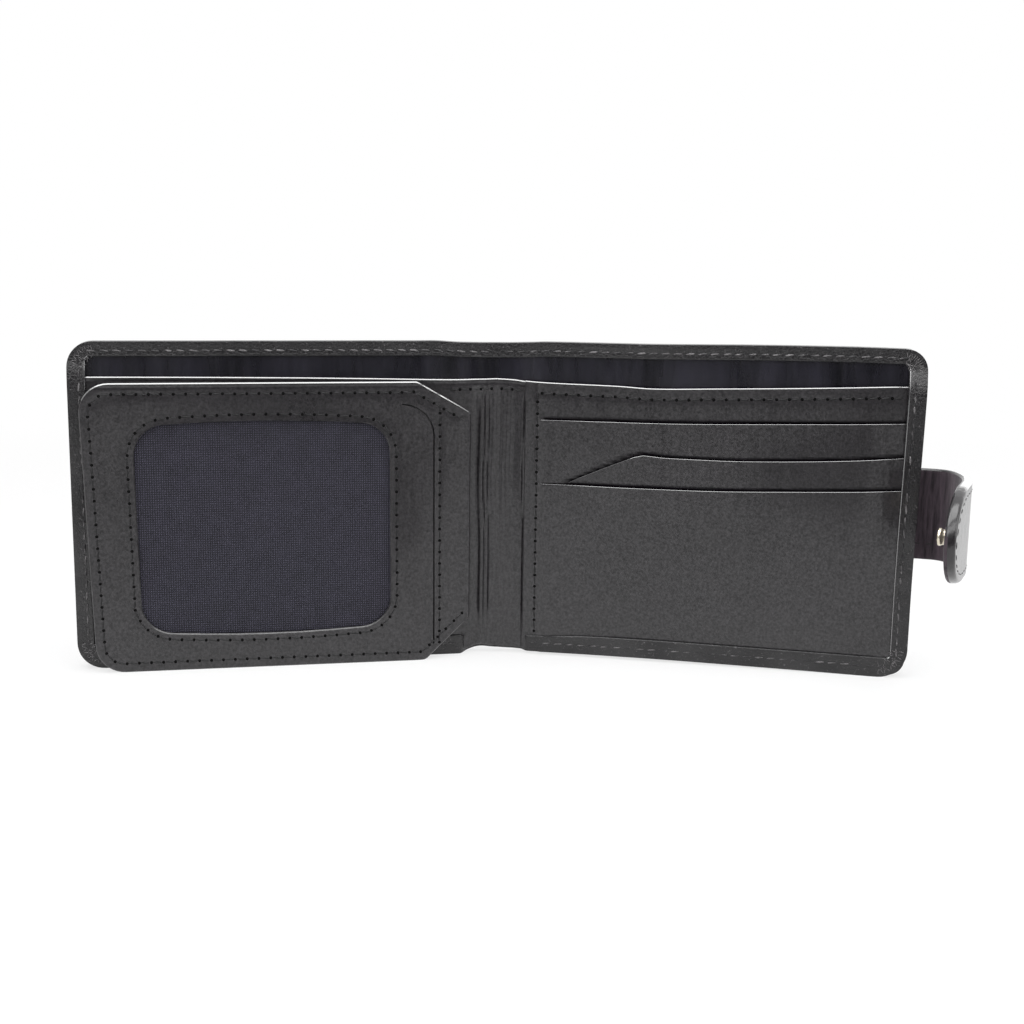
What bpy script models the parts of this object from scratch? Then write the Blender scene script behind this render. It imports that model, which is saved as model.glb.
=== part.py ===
"""A black leather bifold wallet, standing open in a wide V on its bottom edges.

The spine is at the back, both wings come forward, and a flap with a window
turns like a page on the left wing. A strap with a snap stud, sewn to the back
of the right wing, wraps round the free edges and closes on the left cover.

Every wing piece is drawn in its wing's own plane: u runs from the fold to the
free edge, z is up, and w is the height above the front of the divider, with
plus w towards the reader and minus w towards the outer cover.
"""

import math

import bmesh
import bpy
from mathutils import Matrix, Vector

MM = 0.001
GAP = 0.3 * MM

# Wings and spine
HEIGHT = 85.8 * MM
WING_LENGTH = 104.2 * MM
CORNER_RADIUS = 5.0 * MM
SPINE_WIDTH = 13.6 * MM
SPINE_RECESS = 1.6 * MM
SPINE_DIP = 0.7 * MM
LEFT_OPENING = math.radians(10)
RIGHT_OPENING = math.radians(11)

# Leathers and what lies between them
COVER_THICKNESS = 0.9 * MM
STIFFENER_THICKNESS = 0.3 * MM
LINING_THICKNESS = 0.4 * MM
DIVIDER_THICKNESS = 0.6 * MM
PANEL_THICKNESS = 0.5 * MM
HEM_THICKNESS = 0.6 * MM
BANKNOTE_ROOM = 0.4 * MM

# Margins and turned edges
TOP_HEM = 3.9 * MM
SIDE_HEM = 4.6 * MM
BOTTOM_HEM = 5.8 * MM
TUCK = 0.6 * MM
STIFFENER_MARGIN = 4.0 * MM
DIVIDER_DROP = 9.3 * MM
DIVIDER_SAG = 2.3 * MM
SAG_PLACE = 35.0 * MM

# Card side, on the right wing
CARD_EDGE = 1.0 * MM
CARD_MARGIN = 4.9 * MM
TOP_SLOT_DROP = 11.4 * MM
MIDDLE_SLOT_DROP = 8.9 * MM
FRONT_SLOT_DROP = 8.4 * MM
SLOT_RISE = 2.2 * MM
THUMB_CUT_START = 12.9 * MM
THUMB_CUT_END = 32.2 * MM

# Slip pocket and flap, on the left wing
POCKET_EDGE = 2.0 * MM
POCKET_DROP = 12.5 * MM
HINGE_STRIP_EDGE = 0.6 * MM
HINGE_STRIP_WIDTH = 7.4 * MM
FLAP_EDGE = 0.4 * MM
FLAP_FOOT = 0.3 * MM
FLAP_DROP = 1.0 * MM
FLAP_TOP_SETBACK = 3.0 * MM
FLAP_BOTTOM_SETBACK = 5.2 * MM
FLAP_TOP_RADIUS = 6.5 * MM
FLAP_BOTTOM_RADIUS = 7.5 * MM
TOP_CHAMFER_WIDTH = 14.7 * MM
TOP_CHAMFER_DROP = 8.4 * MM
BOTTOM_CHAMFER_WIDTH = 12.4 * MM
BOTTOM_CHAMFER_RISE = 11.2 * MM
FLAP_HINGE_INSET = 0.4 * MM
FLAP_BACK_THICKNESS = 0.6 * MM
MESH_THICKNESS = 0.3 * MM
FLAP_FRONT_THICKNESS = 0.7 * MM
WINDOW_INSET = 21.9 * MM
WINDOW_FAR_MARGIN = 10.7 * MM
WINDOW_SILL = 9.2 * MM
WINDOW_HEAD = 10.5 * MM
WINDOW_RADIUS = 8.0 * MM
WINDOW_BOW = 0.6 * MM
MESH_MARGIN = 4.5 * MM
SLIT_WIDTH = 0.4 * MM
SLIT_INSET = 10.2 * MM
SLIT_RADIUS = 8.5 * MM
SLIT_FOOT = 4.3 * MM
SLIT_TOP_GAP = 6.0 * MM

# Strap and snap
STRAP_WIDTH = 24.2 * MM
STRAP_RISE = 0.3 * MM
STRAP_PATCH = 18.0 * MM
STRAP_LINING_THICKNESS = 0.8 * MM
STRAP_LEATHER_THICKNESS = 1.0 * MM
STRAP_CORE_THICKNESS = 0.3 * MM
BAND_LENGTH = 7.2 * MM
BAND_SETBACK = 0.5 * MM
CORE_MARGIN = 2.5 * MM
BAND_ANGLE = math.radians(8)
BEND_ANGLE = math.radians(80)
TAB_ANGLE = math.radians(16)
SNAP_ROOM = 3.9 * MM
SOCKET_INSET = 11.6 * MM
SOCKET_RADIUS = 5.0 * MM
SOCKET_HEIGHT = 2.0 * MM
SOCKET_SHOULDER = 0.3 * MM
SNAP_FLANGE_RADIUS = 3.4 * MM
SNAP_SHANK_RADIUS = 1.9 * MM
SNAP_WALL = 0.6 * MM
STUD_RADIUS = 2.2 * MM
STUD_REACH = 3.0 * MM
STUD_BASE = 0.5 * MM
STUD_SHANK_RADIUS = 0.9 * MM
STUD_DIMPLE = 1.1 * MM
BORE_CLEARANCE = 0.25 * MM
HOLE_CLEARANCE = 0.4 * MM
EASE = 0.3 * MM

ARC_STEPS = 6
BOW_STEPS = 6
TURN_STEPS = 24

UPRIGHT = (math.radians(90), 0, 0)


def stack(start, *thicknesses):
    """The low and high w of each layer, laid on one another with a gap between."""
    levels = []
    low = start
    for thickness in thicknesses:
        levels.append((low, low + thickness))
        low += thickness + GAP
    return levels


def below(level, thickness, room=GAP):
    """The level of a layer that lies under another, towards the cover."""
    high = level[0] - room
    return (high - thickness, high)


DIVIDER = (-DIVIDER_THICKNESS, 0.0)
LINING = below(DIVIDER, LINING_THICKNESS, BANKNOTE_ROOM)
STIFFENER = below(LINING, STIFFENER_THICKNESS)
COVER = below(STIFFENER, COVER_THICKNESS)
TOP_HEM_LEVEL = (LINING[1] + GAP, LINING[1] + GAP + HEM_THICKNESS)
CARD_PANEL, SLOT_TOP, SLOT_MIDDLE, SLOT_FRONT, RIGHT_HEM = stack(
    GAP, PANEL_THICKNESS, PANEL_THICKNESS, PANEL_THICKNESS, PANEL_THICKNESS, HEM_THICKNESS
)
POCKET, LEFT_HEM, FLAP_BACK, MESH, FLAP_FRONT = stack(
    GAP, PANEL_THICKNESS, HEM_THICKNESS, FLAP_BACK_THICKNESS, MESH_THICKNESS, FLAP_FRONT_THICKNESS
)

DIVIDER_HEIGHT = HEIGHT - DIVIDER_DROP
TOP_SLOT_HEIGHT = DIVIDER_HEIGHT - TOP_SLOT_DROP
MIDDLE_SLOT_HEIGHT = TOP_SLOT_HEIGHT - MIDDLE_SLOT_DROP
FRONT_SLOT_HEIGHT = MIDDLE_SLOT_HEIGHT - FRONT_SLOT_DROP
POCKET_HEIGHT = DIVIDER_HEIGHT - POCKET_DROP
TUCKED_LENGTH = WING_LENGTH - TUCK
TUCKED_RADIUS = CORNER_RADIUS - TUCK
COVER_DEPTH = -COVER[0]
STRAP_CENTRE = HEIGHT / 2 + STRAP_RISE
STRAP_AXIS_U = WING_LENGTH + GAP
STRAP_AXIS_W = -COVER_DEPTH - GAP
STRAP_CROSSING = SPINE_WIDTH + 2 * COVER_DEPTH + GAP + SNAP_ROOM
BEND_LENGTH = STRAP_CROSSING - BAND_LENGTH
TIP_RADIUS = STRAP_WIDTH / 2
SOCKET_U = WING_LENGTH - SOCKET_INSET
STUD_PLACE = STRAP_AXIS_U - SOCKET_U
TAB_LENGTH = STUD_PLACE + TIP_RADIUS
FLAP_TOP = DIVIDER_HEIGHT - FLAP_DROP
FLAP_AXIS_U = FLAP_EDGE + FLAP_HINGE_INSET
FLAP_AXIS_W = (FLAP_BACK[0] + FLAP_FRONT[1]) / 2

# Name: colour, roughness, metallic
FINISHES = {
    "outer_leather": ((0.020, 0.019, 0.021), 0.42, 0.0),
    "inner_leather": ((0.024, 0.023, 0.026), 0.38, 0.0),
    "suede_lining": ((0.018, 0.016, 0.018), 0.85, 0.0),
    "note_lining": ((0.014, 0.013, 0.017), 0.35, 0.0),
    "woven_mesh": ((0.022, 0.022, 0.040), 0.70, 0.0),
    "card_stiffener": ((0.12, 0.10, 0.08), 0.90, 0.0),
    "snap_metal": ((0.78, 0.74, 0.66), 0.25, 1.0),
}


def clear_scene():
    for obj in list(bpy.data.objects):
        bpy.data.objects.remove(obj, do_unlink=True)


def make_material(name):
    colour, roughness, metallic = FINISHES[name]
    material = bpy.data.materials.new(name)
    material.use_nodes = True
    shader = material.node_tree.nodes["Principled BSDF"]
    shader.inputs["Base Color"].default_value = (*colour, 1.0)
    shader.inputs["Roughness"].default_value = roughness
    shader.inputs["Metallic"].default_value = metallic
    return material


def add_to_parts(obj, parent):
    parts = bpy.data.collections.get("wallet")
    if parts is None:
        parts = bpy.data.collections.new("wallet")
        bpy.context.scene.collection.children.link(parts)
    parts.objects.link(obj)
    obj.parent = parent
    return obj


def pivot(name, parent, x, y, turn):
    """An empty on a joint's upright axis, which everything on that body hangs from."""
    empty = add_to_parts(bpy.data.objects.new(name, None), parent)
    empty.location = (x, y, 0)
    empty.rotation_euler = (0, 0, turn)
    return empty


def rounded(corners):
    """A closed outline from (u, z, radius) corners, with an arc in each corner that has a radius."""
    outline = []
    for index, (u, z, radius) in enumerate(corners):
        corner = Vector((u, z))
        if radius <= 0:
            outline.append(corner)
            continue
        before = (Vector(corners[index - 1][:2]) - corner).normalized()
        after = (Vector(corners[(index + 1) % len(corners)][:2]) - corner).normalized()
        half = before.angle(after) / 2
        centre = corner + (before + after).normalized() * radius / math.sin(half)
        start = corner + before * radius / math.tan(half) - centre
        end = corner + after * radius / math.tan(half) - centre
        turn = -start.angle_signed(end)
        for step in range(ARC_STEPS + 1):
            outline.append(centre + Matrix.Rotation(turn * step / ARC_STEPS, 2) @ start)
    return outline


def rectangle(left, right, bottom, top):
    return [Vector((left, bottom)), Vector((right, bottom)), Vector((right, top)), Vector((left, top))]


def circle(u, z, radius):
    turns = [2 * math.pi * step / TURN_STEPS for step in range(TURN_STEPS)]
    return [Vector((u + radius * math.cos(turn), z + radius * math.sin(turn))) for turn in turns]


def plate(name, outlines, level, parent, side, finish):
    """A flat piece of leather or card standing in its body's plane. Later outlines are holes."""
    curve = bpy.data.curves.new(name, "CURVE")
    curve.dimensions = "2D"
    curve.fill_mode = "BOTH"
    curve.extrude = (level[1] - level[0]) / 2
    for outline in outlines:
        spline = curve.splines.new("POLY")
        spline.points.add(len(outline) - 1)
        for point, place in zip(spline.points, outline):
            point.co = (place.x, place.y, 0, 1)
        spline.use_cyclic_u = True
    curve.materials.append(MATERIALS[finish])
    obj = add_to_parts(bpy.data.objects.new(name, curve), parent)
    obj.rotation_euler = UPRIGHT
    obj.location = (0, side * (level[0] + level[1]) / 2, 0)
    return obj


def turned(name, profile, u, y, parent, finish):
    """A round piece about an axis square to the leather, from (radius, height) points, top to bottom."""
    shape = bmesh.new()
    ring = [shape.verts.new((radius, 0, height)) for radius, height in profile]
    for start, end in zip(ring, ring[1:]):
        shape.edges.new((start, end))
    mesh = bpy.data.meshes.new(name)
    shape.to_mesh(mesh)
    shape.free()
    mesh.materials.append(MATERIALS[finish])
    obj = add_to_parts(bpy.data.objects.new(name, mesh), parent)
    obj.location = (u, y, STRAP_CENTRE)
    obj.rotation_euler = UPRIGHT
    screw = obj.modifiers.new("turn", "SCREW")
    screw.axis = "Z"
    screw.steps = TURN_STEPS
    screw.render_steps = TURN_STEPS
    screw.use_merge_vertices = True
    screw.merge_threshold = 0.01 * MM
    screw.use_smooth_shade = True
    return obj


def wing_outline(near, far, bottom, top, radius):
    """A wing's outline, square at the fold and round at its free corners."""
    return rounded([(near, bottom, 0), (far, bottom, radius), (far, top, radius), (near, top, 0)])


def pocket_outline(near, top_corners):
    """A piece tucked in at the wing's edges, round at its foot. Its top runs back to the fold."""
    return rounded([(near, TUCK, 0), (TUCKED_LENGTH, TUCK, TUCKED_RADIUS)] + top_corners)


def make_spine(parent):
    """The strip between the two folds, in the same layers as the wings."""
    half = SPINE_WIDTH / 2 - GAP
    top = HEIGHT - SPINE_DIP
    whole = rectangle(-half, half, SPINE_RECESS, top)
    tucked = rectangle(-half, half, SPINE_RECESS + TUCK, top - TUCK)
    inner = rectangle(-half, half, SPINE_RECESS, DIVIDER_HEIGHT)
    hem = rectangle(-half, half, top - TOP_HEM, top)
    plate("spine_cover", [whole], COVER, parent, -1, "outer_leather")
    plate("spine_note_lining", [tucked], LINING, parent, -1, "note_lining")
    plate("spine_divider", [inner], DIVIDER, parent, -1, "inner_leather")
    plate("spine_top_hem", [hem], TOP_HEM_LEVEL, parent, -1, "outer_leather")


def make_wing_shell(side_name, parent, side, divider_top, cover_holes, stiffener_holes):
    """Cover, stiffener, note lining and divider, which both wings have."""
    cover = wing_outline(GAP, WING_LENGTH, 0, HEIGHT, CORNER_RADIUS)
    tucked = wing_outline(GAP, TUCKED_LENGTH, TUCK, HEIGHT - TUCK, TUCKED_RADIUS)
    margin = STIFFENER_MARGIN
    card = rectangle(margin, WING_LENGTH - margin, margin, HEIGHT - margin)
    ends = [(TUCKED_LENGTH, DIVIDER_HEIGHT, 0), (GAP, DIVIDER_HEIGHT, 0)]
    divider = pocket_outline(GAP, ends[:1] + divider_top + ends[1:])
    plate(side_name + "_cover", [cover] + cover_holes, COVER, parent, side, "outer_leather")
    plate(side_name + "_stiffener", [card] + stiffener_holes, STIFFENER, parent, side, "card_stiffener")
    plate(side_name + "_note_lining", [tucked], LINING, parent, side, "note_lining")
    plate(side_name + "_divider", [divider], DIVIDER, parent, side, "inner_leather")


def make_hems(side_name, parent, side, near, level):
    """The cover's edges, turned in over the pockets below and over the note lining above."""
    inner = WING_LENGTH - SIDE_HEM
    leg = DIVIDER_HEIGHT + GAP
    round_foot = min(CORNER_RADIUS, SIDE_HEM - EASE)
    top = rounded(
        [
            (GAP, HEIGHT - TOP_HEM, 0),
            (inner, HEIGHT - TOP_HEM, 0),
            (inner, leg, 0),
            (WING_LENGTH, leg, 0),
            (WING_LENGTH, HEIGHT, CORNER_RADIUS),
            (GAP, HEIGHT, 0),
        ]
    )
    edge = rounded([(inner, 0, 0), (WING_LENGTH, 0, round_foot), (WING_LENGTH, leg, 0), (inner, leg, 0)])
    bottom = rectangle(near, inner - GAP, 0, BOTTOM_HEM)
    plate(side_name + "_top_hem", [top], TOP_HEM_LEVEL, parent, side, "outer_leather")
    plate(side_name + "_side_hem", [edge], level, parent, side, "outer_leather")
    plate(side_name + "_bottom_hem", [bottom], level, parent, side, "outer_leather")


def slot_outline(height, start=None):
    """A card slot's panel. Its edge rises towards the free end, and may start with a thumb cut."""
    near = CARD_EDGE + CARD_MARGIN + GAP
    edge = [(TUCKED_LENGTH, height + SLOT_RISE, 0)]
    if start is None:
        edge += [(near, height, 0)]
    else:
        edge += [(THUMB_CUT_END, height, 0), (start, FRONT_SLOT_HEIGHT, 0), (near, FRONT_SLOT_HEIGHT, 0)]
    return pocket_outline(near, edge)


def make_card_side(parent):
    """The card panel, its sewn margin by the fold, and three slots one over the other."""
    low = DIVIDER_HEIGHT - DIVIDER_SAG
    top = [(TUCKED_LENGTH, DIVIDER_HEIGHT, 0), (SAG_PLACE, low, 0), (CARD_EDGE, DIVIDER_HEIGHT, 0)]
    panel = pocket_outline(CARD_EDGE, top)
    margin = rectangle(CARD_EDGE, CARD_EDGE + CARD_MARGIN, TUCK, low)
    plate("card_panel", [panel], CARD_PANEL, parent, -1, "inner_leather")
    plate("card_margin", [margin], SLOT_TOP, parent, -1, "inner_leather")
    plate("card_slot_top", [slot_outline(TOP_SLOT_HEIGHT)], SLOT_TOP, parent, -1, "inner_leather")
    middle = slot_outline(MIDDLE_SLOT_HEIGHT, THUMB_CUT_START)
    plate("card_slot_middle", [middle], SLOT_MIDDLE, parent, -1, "inner_leather")
    plate("card_slot_front", [slot_outline(FRONT_SLOT_HEIGHT)], SLOT_FRONT, parent, -1, "inner_leather")


def make_slip_pocket(parent):
    """The pocket that the flap covers, and the strip that the flap is sewn on by."""
    pocket = pocket_outline(POCKET_EDGE, [(TUCKED_LENGTH, POCKET_HEIGHT, 0), (POCKET_EDGE, POCKET_HEIGHT, 0)])
    foot = max(FLAP_FOOT + BOTTOM_CHAMFER_RISE, BOTTOM_HEM + GAP)
    head = FLAP_TOP - TOP_CHAMFER_DROP
    strip = rectangle(HINGE_STRIP_EDGE, HINGE_STRIP_EDGE + HINGE_STRIP_WIDTH, foot, head)
    plate("slip_pocket", [pocket], POCKET, parent, 1, "inner_leather")
    plate("flap_hinge_strip", [strip], LEFT_HEM, parent, 1, "inner_leather")


def flap_outline():
    """The flap, cut away at both corners by the fold and round at its free corners."""
    near = FLAP_EDGE - FLAP_AXIS_U
    far = WING_LENGTH - FLAP_AXIS_U
    return rounded(
        [
            (near, FLAP_FOOT + BOTTOM_CHAMFER_RISE, 0),
            (near + BOTTOM_CHAMFER_WIDTH, FLAP_FOOT, 0),
            (far - FLAP_BOTTOM_SETBACK, FLAP_FOOT, FLAP_BOTTOM_RADIUS),
            (far - FLAP_TOP_SETBACK, FLAP_TOP, FLAP_TOP_RADIUS),
            (near + TOP_CHAMFER_WIDTH, FLAP_TOP, 0),
            (near, FLAP_TOP - TOP_CHAMFER_DROP, 0),
        ]
    )


def bowed_rectangle(left, right, bottom, top, radius, bow):
    """A rounded rectangle whose long sides swell by the bow in the middle."""
    width = right - left
    corners = [(left, bottom + bow, radius)]
    for step in range(1, BOW_STEPS):
        share = step / BOW_STEPS
        corners.append((left + width * share, bottom + bow * (1 - math.sin(math.pi * share)), 0))
    corners.append((right, bottom + bow, radius))
    corners.append((right, top - bow, radius))
    for step in range(1, BOW_STEPS):
        share = step / BOW_STEPS
        corners.append((right - width * share, top - bow * (1 - math.sin(math.pi * share)), 0))
    corners.append((left, top - bow, radius))
    return rounded(corners)


def slit_outline():
    """The J cut beside the window, where a card slides in behind the leather."""
    near = FLAP_EDGE - FLAP_AXIS_U
    top = FLAP_TOP - SLIT_TOP_GAP
    half = SLIT_WIDTH / 2
    line = near + SLIT_INSET
    centre = Vector((line + SLIT_RADIUS, top - SLIT_RADIUS))
    turns = [math.pi - math.pi / 2 * step / ARC_STEPS for step in range(ARC_STEPS + 1)]
    rays = [Vector((math.cos(turn), math.sin(turn))) for turn in turns]
    outer = [centre + ray * (SLIT_RADIUS + half) for ray in rays]
    inner = [centre + ray * (SLIT_RADIUS - half) for ray in reversed(rays)]
    return [Vector((line - half, SLIT_FOOT))] + outer + inner + [Vector((line + half, SLIT_FOOT))]


def make_flap(parent):
    """Back leather, woven pane and front leather with its window and slit."""
    left = FLAP_EDGE - FLAP_AXIS_U + WINDOW_INSET
    right = WING_LENGTH - FLAP_AXIS_U - FLAP_BOTTOM_SETBACK - WINDOW_FAR_MARGIN
    head = FLAP_TOP - WINDOW_HEAD
    window = bowed_rectangle(left, right, WINDOW_SILL, head, WINDOW_RADIUS, WINDOW_BOW)
    sides = (left - MESH_MARGIN, right + MESH_MARGIN, WINDOW_SILL - MESH_MARGIN, head + MESH_MARGIN)
    mesh = bowed_rectangle(*sides, WINDOW_RADIUS, WINDOW_BOW)
    lift = FLAP_AXIS_W
    for name, outlines, level, finish in (
        ("flap_back", [flap_outline()], FLAP_BACK, "inner_leather"),
        ("window_mesh", [mesh], MESH, "woven_mesh"),
        ("flap_front", [flap_outline(), window, slit_outline()], FLAP_FRONT, "inner_leather"),
    ):
        plate(name, outlines, (level[0] - lift, level[1] - lift), parent, 1, finish)


def strap_layers(core):
    """The strap's lining and leather, with a stiff core between them in the tab."""
    if core:
        return stack(0, STRAP_LINING_THICKNESS, STRAP_CORE_THICKNESS, STRAP_LEATHER_THICKNESS)
    return stack(0, STRAP_LINING_THICKNESS, STRAP_LEATHER_THICKNESS)


def make_strap_piece(name, start, end, leather_start, parent):
    """A straight length of strap. Its lining lies on the joint's axis and its leather outside it."""
    bottom = STRAP_CENTRE - STRAP_WIDTH / 2
    top = STRAP_CENTRE + STRAP_WIDTH / 2
    lining, leather = strap_layers(False)
    outer = rectangle(leather_start, end, bottom, top)
    plate(name + "_lining", [rectangle(start, end, bottom, top)], lining, parent, 1, "suede_lining")
    plate(name + "_leather", [outer], leather, parent, 1, "outer_leather")


def make_strap_root(parent):
    """The end of the strap, sewn flat on the outer cover."""
    bottom = STRAP_CENTRE - STRAP_WIDTH / 2
    top = STRAP_CENTRE + STRAP_WIDTH / 2
    end = STRAP_AXIS_U - GAP
    start = end - STRAP_PATCH
    lining, leather = [(STRAP_AXIS_W - high, STRAP_AXIS_W - low) for low, high in strap_layers(False)]
    plate("strap_root_lining", [rectangle(start, end, bottom, top)], lining, parent, -1, "suede_lining")
    outer = rectangle(start, end - BAND_SETBACK, bottom, top)
    plate("strap_root_leather", [outer], leather, parent, -1, "outer_leather")


def tab_outline(inset):
    """The tab, with a half-round end."""
    bottom = STRAP_CENTRE - STRAP_WIDTH / 2 + inset
    top = STRAP_CENTRE + STRAP_WIDTH / 2 - inset
    radius = TIP_RADIUS - inset - EASE / 2
    near = GAP + inset
    far = TAB_LENGTH - inset
    return rounded([(near, bottom, 0), (far, bottom, radius), (far, top, radius), (near, top, 0)])


def make_tab(parent):
    """The tab's lining, core and leather. The core and lining are pierced for the stud."""
    lining, core, leather = strap_layers(True)
    shank_hole = circle(STUD_PLACE, STRAP_CENTRE, STUD_SHANK_RADIUS + HOLE_CLEARANCE)
    flange_hole = circle(STUD_PLACE, STRAP_CENTRE, SNAP_FLANGE_RADIUS + HOLE_CLEARANCE)
    plate("tab_lining", [tab_outline(0), shank_hole], lining, parent, 1, "suede_lining")
    plate("tab_core", [tab_outline(CORE_MARGIN), flange_hole], core, parent, 1, "card_stiffener")
    plate("tab_leather", [tab_outline(0)], leather, parent, 1, "outer_leather")


def make_stud(parent):
    """The snap's stud: a hollow head, a base on the lining and a flange held behind it."""
    flange_top = -STRAP_LINING_THICKNESS - GAP
    flange_bottom = flange_top - STRAP_CORE_THICKNESS
    base_top = GAP + STUD_BASE
    neck = STUD_RADIUS - EASE
    dimple = STUD_RADIUS - SNAP_WALL
    profile = [
        (0, STUD_REACH - STUD_DIMPLE),
        (dimple, STUD_REACH - STUD_DIMPLE),
        (dimple, STUD_REACH),
        (STUD_RADIUS - EASE, STUD_REACH),
        (STUD_RADIUS, STUD_REACH - EASE),
        (STUD_RADIUS, STUD_REACH - 3 * EASE),
        (neck, STUD_REACH - 4 * EASE),
        (neck, base_top),
        (SNAP_FLANGE_RADIUS, base_top),
        (SNAP_FLANGE_RADIUS, GAP),
        (STUD_SHANK_RADIUS, GAP),
        (STUD_SHANK_RADIUS, flange_top),
        (SNAP_FLANGE_RADIUS, flange_top),
        (SNAP_FLANGE_RADIUS, flange_bottom),
        (0, flange_bottom),
    ]
    turned("snap_stud", profile, STUD_PLACE, 0, parent, "snap_metal")


def make_socket(parent):
    """The snap's socket: a ring on the cover, and a hollow shank clenched behind it."""
    bore = STUD_RADIUS + BORE_CLEARANCE
    top = GAP + SOCKET_HEIGHT
    clench_top = -COVER_THICKNESS - GAP
    clench_bottom = clench_top - STIFFENER_THICKNESS
    inner = SNAP_SHANK_RADIUS - SNAP_WALL
    profile = [
        (bore, top),
        (SOCKET_RADIUS - EASE, top),
        (SOCKET_RADIUS, top - EASE),
        (SOCKET_RADIUS, GAP),
        (SNAP_SHANK_RADIUS, GAP),
        (SNAP_SHANK_RADIUS, clench_top),
        (SNAP_FLANGE_RADIUS, clench_top),
        (SNAP_FLANGE_RADIUS, clench_bottom),
        (inner, clench_bottom),
        (inner, GAP + SOCKET_SHOULDER),
        (bore, GAP + SOCKET_SHOULDER),
        (bore, top),
    ]
    turned("snap_socket", profile, SOCKET_U, COVER[0], parent, "snap_metal")


def centre_on_floor(root):
    """Moves the whole wallet so that its box stands centred on the origin."""
    bpy.context.view_layer.update()
    graph = bpy.context.evaluated_depsgraph_get()
    points = []
    for obj in bpy.data.collections["wallet"].objects:
        if obj.type == "EMPTY":
            continue
        evaluated = obj.evaluated_get(graph)
        points += [evaluated.matrix_world @ vertex.co for vertex in evaluated.to_mesh().vertices]
        evaluated.to_mesh_clear()
    for axis in range(2):
        values = [point[axis] for point in points]
        root.location[axis] -= (min(values) + max(values)) / 2
    root.location.z -= min(point.z for point in points)


def main():
    root = pivot("wallet_spine", None, 0, 0, 0)
    left = pivot("left_fold", root, -SPINE_WIDTH / 2, 0, math.pi + LEFT_OPENING)
    right = pivot("right_fold", root, SPINE_WIDTH / 2, 0, -RIGHT_OPENING)
    flap = pivot("flap_hinge", left, FLAP_AXIS_U, FLAP_AXIS_W, 0)
    band = pivot("strap_root", right, STRAP_AXIS_U, -STRAP_AXIS_W, -BAND_ANGLE)
    bend = pivot("strap_bend", band, BAND_LENGTH, 0, -BEND_ANGLE)
    tab = pivot("strap_tip", bend, BEND_LENGTH, 0, -TAB_ANGLE)

    make_spine(root)
    socket_hole = circle(SOCKET_U, STRAP_CENTRE, SNAP_SHANK_RADIUS + HOLE_CLEARANCE)
    clench_hole = circle(SOCKET_U, STRAP_CENTRE, SNAP_FLANGE_RADIUS + HOLE_CLEARANCE)
    make_wing_shell("left", left, 1, [], [socket_hole], [clench_hole])
    sag = [(SAG_PLACE, DIVIDER_HEIGHT - DIVIDER_SAG, 0)]
    make_wing_shell("right", right, -1, sag, [], [])
    make_hems("left", left, 1, CARD_EDGE, LEFT_HEM)
    make_hems("right", right, -1, CARD_EDGE, RIGHT_HEM)
    make_card_side(right)
    make_slip_pocket(left)
    make_socket(left)
    make_flap(flap)
    make_strap_root(right)
    make_strap_piece("strap_band", GAP, BAND_LENGTH - GAP, GAP + BAND_SETBACK, band)
    make_strap_piece("strap_bend", GAP, BEND_LENGTH - GAP, GAP, bend)
    make_tab(tab)
    make_stud(tab)
    centre_on_floor(root)


clear_scene()
MATERIALS = {name: make_material(name) for name in FINISHES}
main()
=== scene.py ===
import math

import bmesh
import bpy
from mathutils import Matrix, Vector


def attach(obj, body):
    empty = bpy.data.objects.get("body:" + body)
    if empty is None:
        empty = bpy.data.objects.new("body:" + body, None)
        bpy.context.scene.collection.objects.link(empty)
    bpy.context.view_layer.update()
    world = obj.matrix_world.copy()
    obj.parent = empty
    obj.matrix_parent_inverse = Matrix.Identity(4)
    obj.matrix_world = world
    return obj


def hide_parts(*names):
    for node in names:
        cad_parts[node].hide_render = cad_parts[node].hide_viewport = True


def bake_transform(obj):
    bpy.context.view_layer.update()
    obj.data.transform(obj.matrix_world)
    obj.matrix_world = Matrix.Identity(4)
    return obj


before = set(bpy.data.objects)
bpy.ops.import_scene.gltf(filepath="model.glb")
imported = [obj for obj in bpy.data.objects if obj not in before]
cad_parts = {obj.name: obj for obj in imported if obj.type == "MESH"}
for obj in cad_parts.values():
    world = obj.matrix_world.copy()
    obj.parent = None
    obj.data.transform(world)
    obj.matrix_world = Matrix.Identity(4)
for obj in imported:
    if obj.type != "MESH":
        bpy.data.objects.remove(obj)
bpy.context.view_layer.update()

# Lengths are in millimetres until a piece is put in its place.
MM = 0.001
SPINE_MIDDLE = Vector((-4.455, 27.666))
HALF_SPINE = 6.8
HEIGHT = 85.8
WING_LENGTH = 104.2
TUCK = 0.6
POCKET_FAR = WING_LENGTH - TUCK
FOLD_REACH = 4.0
TOP_HEM, SIDE_HEM, BOTTOM_HEM = 3.9, 4.6, 5.8
DIVIDER_TOP = 76.5

COVER_BACK = -3.2
NOTE_FLOOR = -1.0
TOP_HEM_FRONT = -0.1
STITCH_PITCH = 3.2


def ease(value, low, high):
    """Rises smoothly from 0 at low to 1 at high."""
    share = min(max((value - low) / (high - low), 0.0), 1.0)
    return share * share * (3 - 2 * share)


def between(start, end, share):
    return start + (end - start) * share


def bell(distance, reach):
    return math.exp(-((distance / reach) ** 2))


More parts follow.
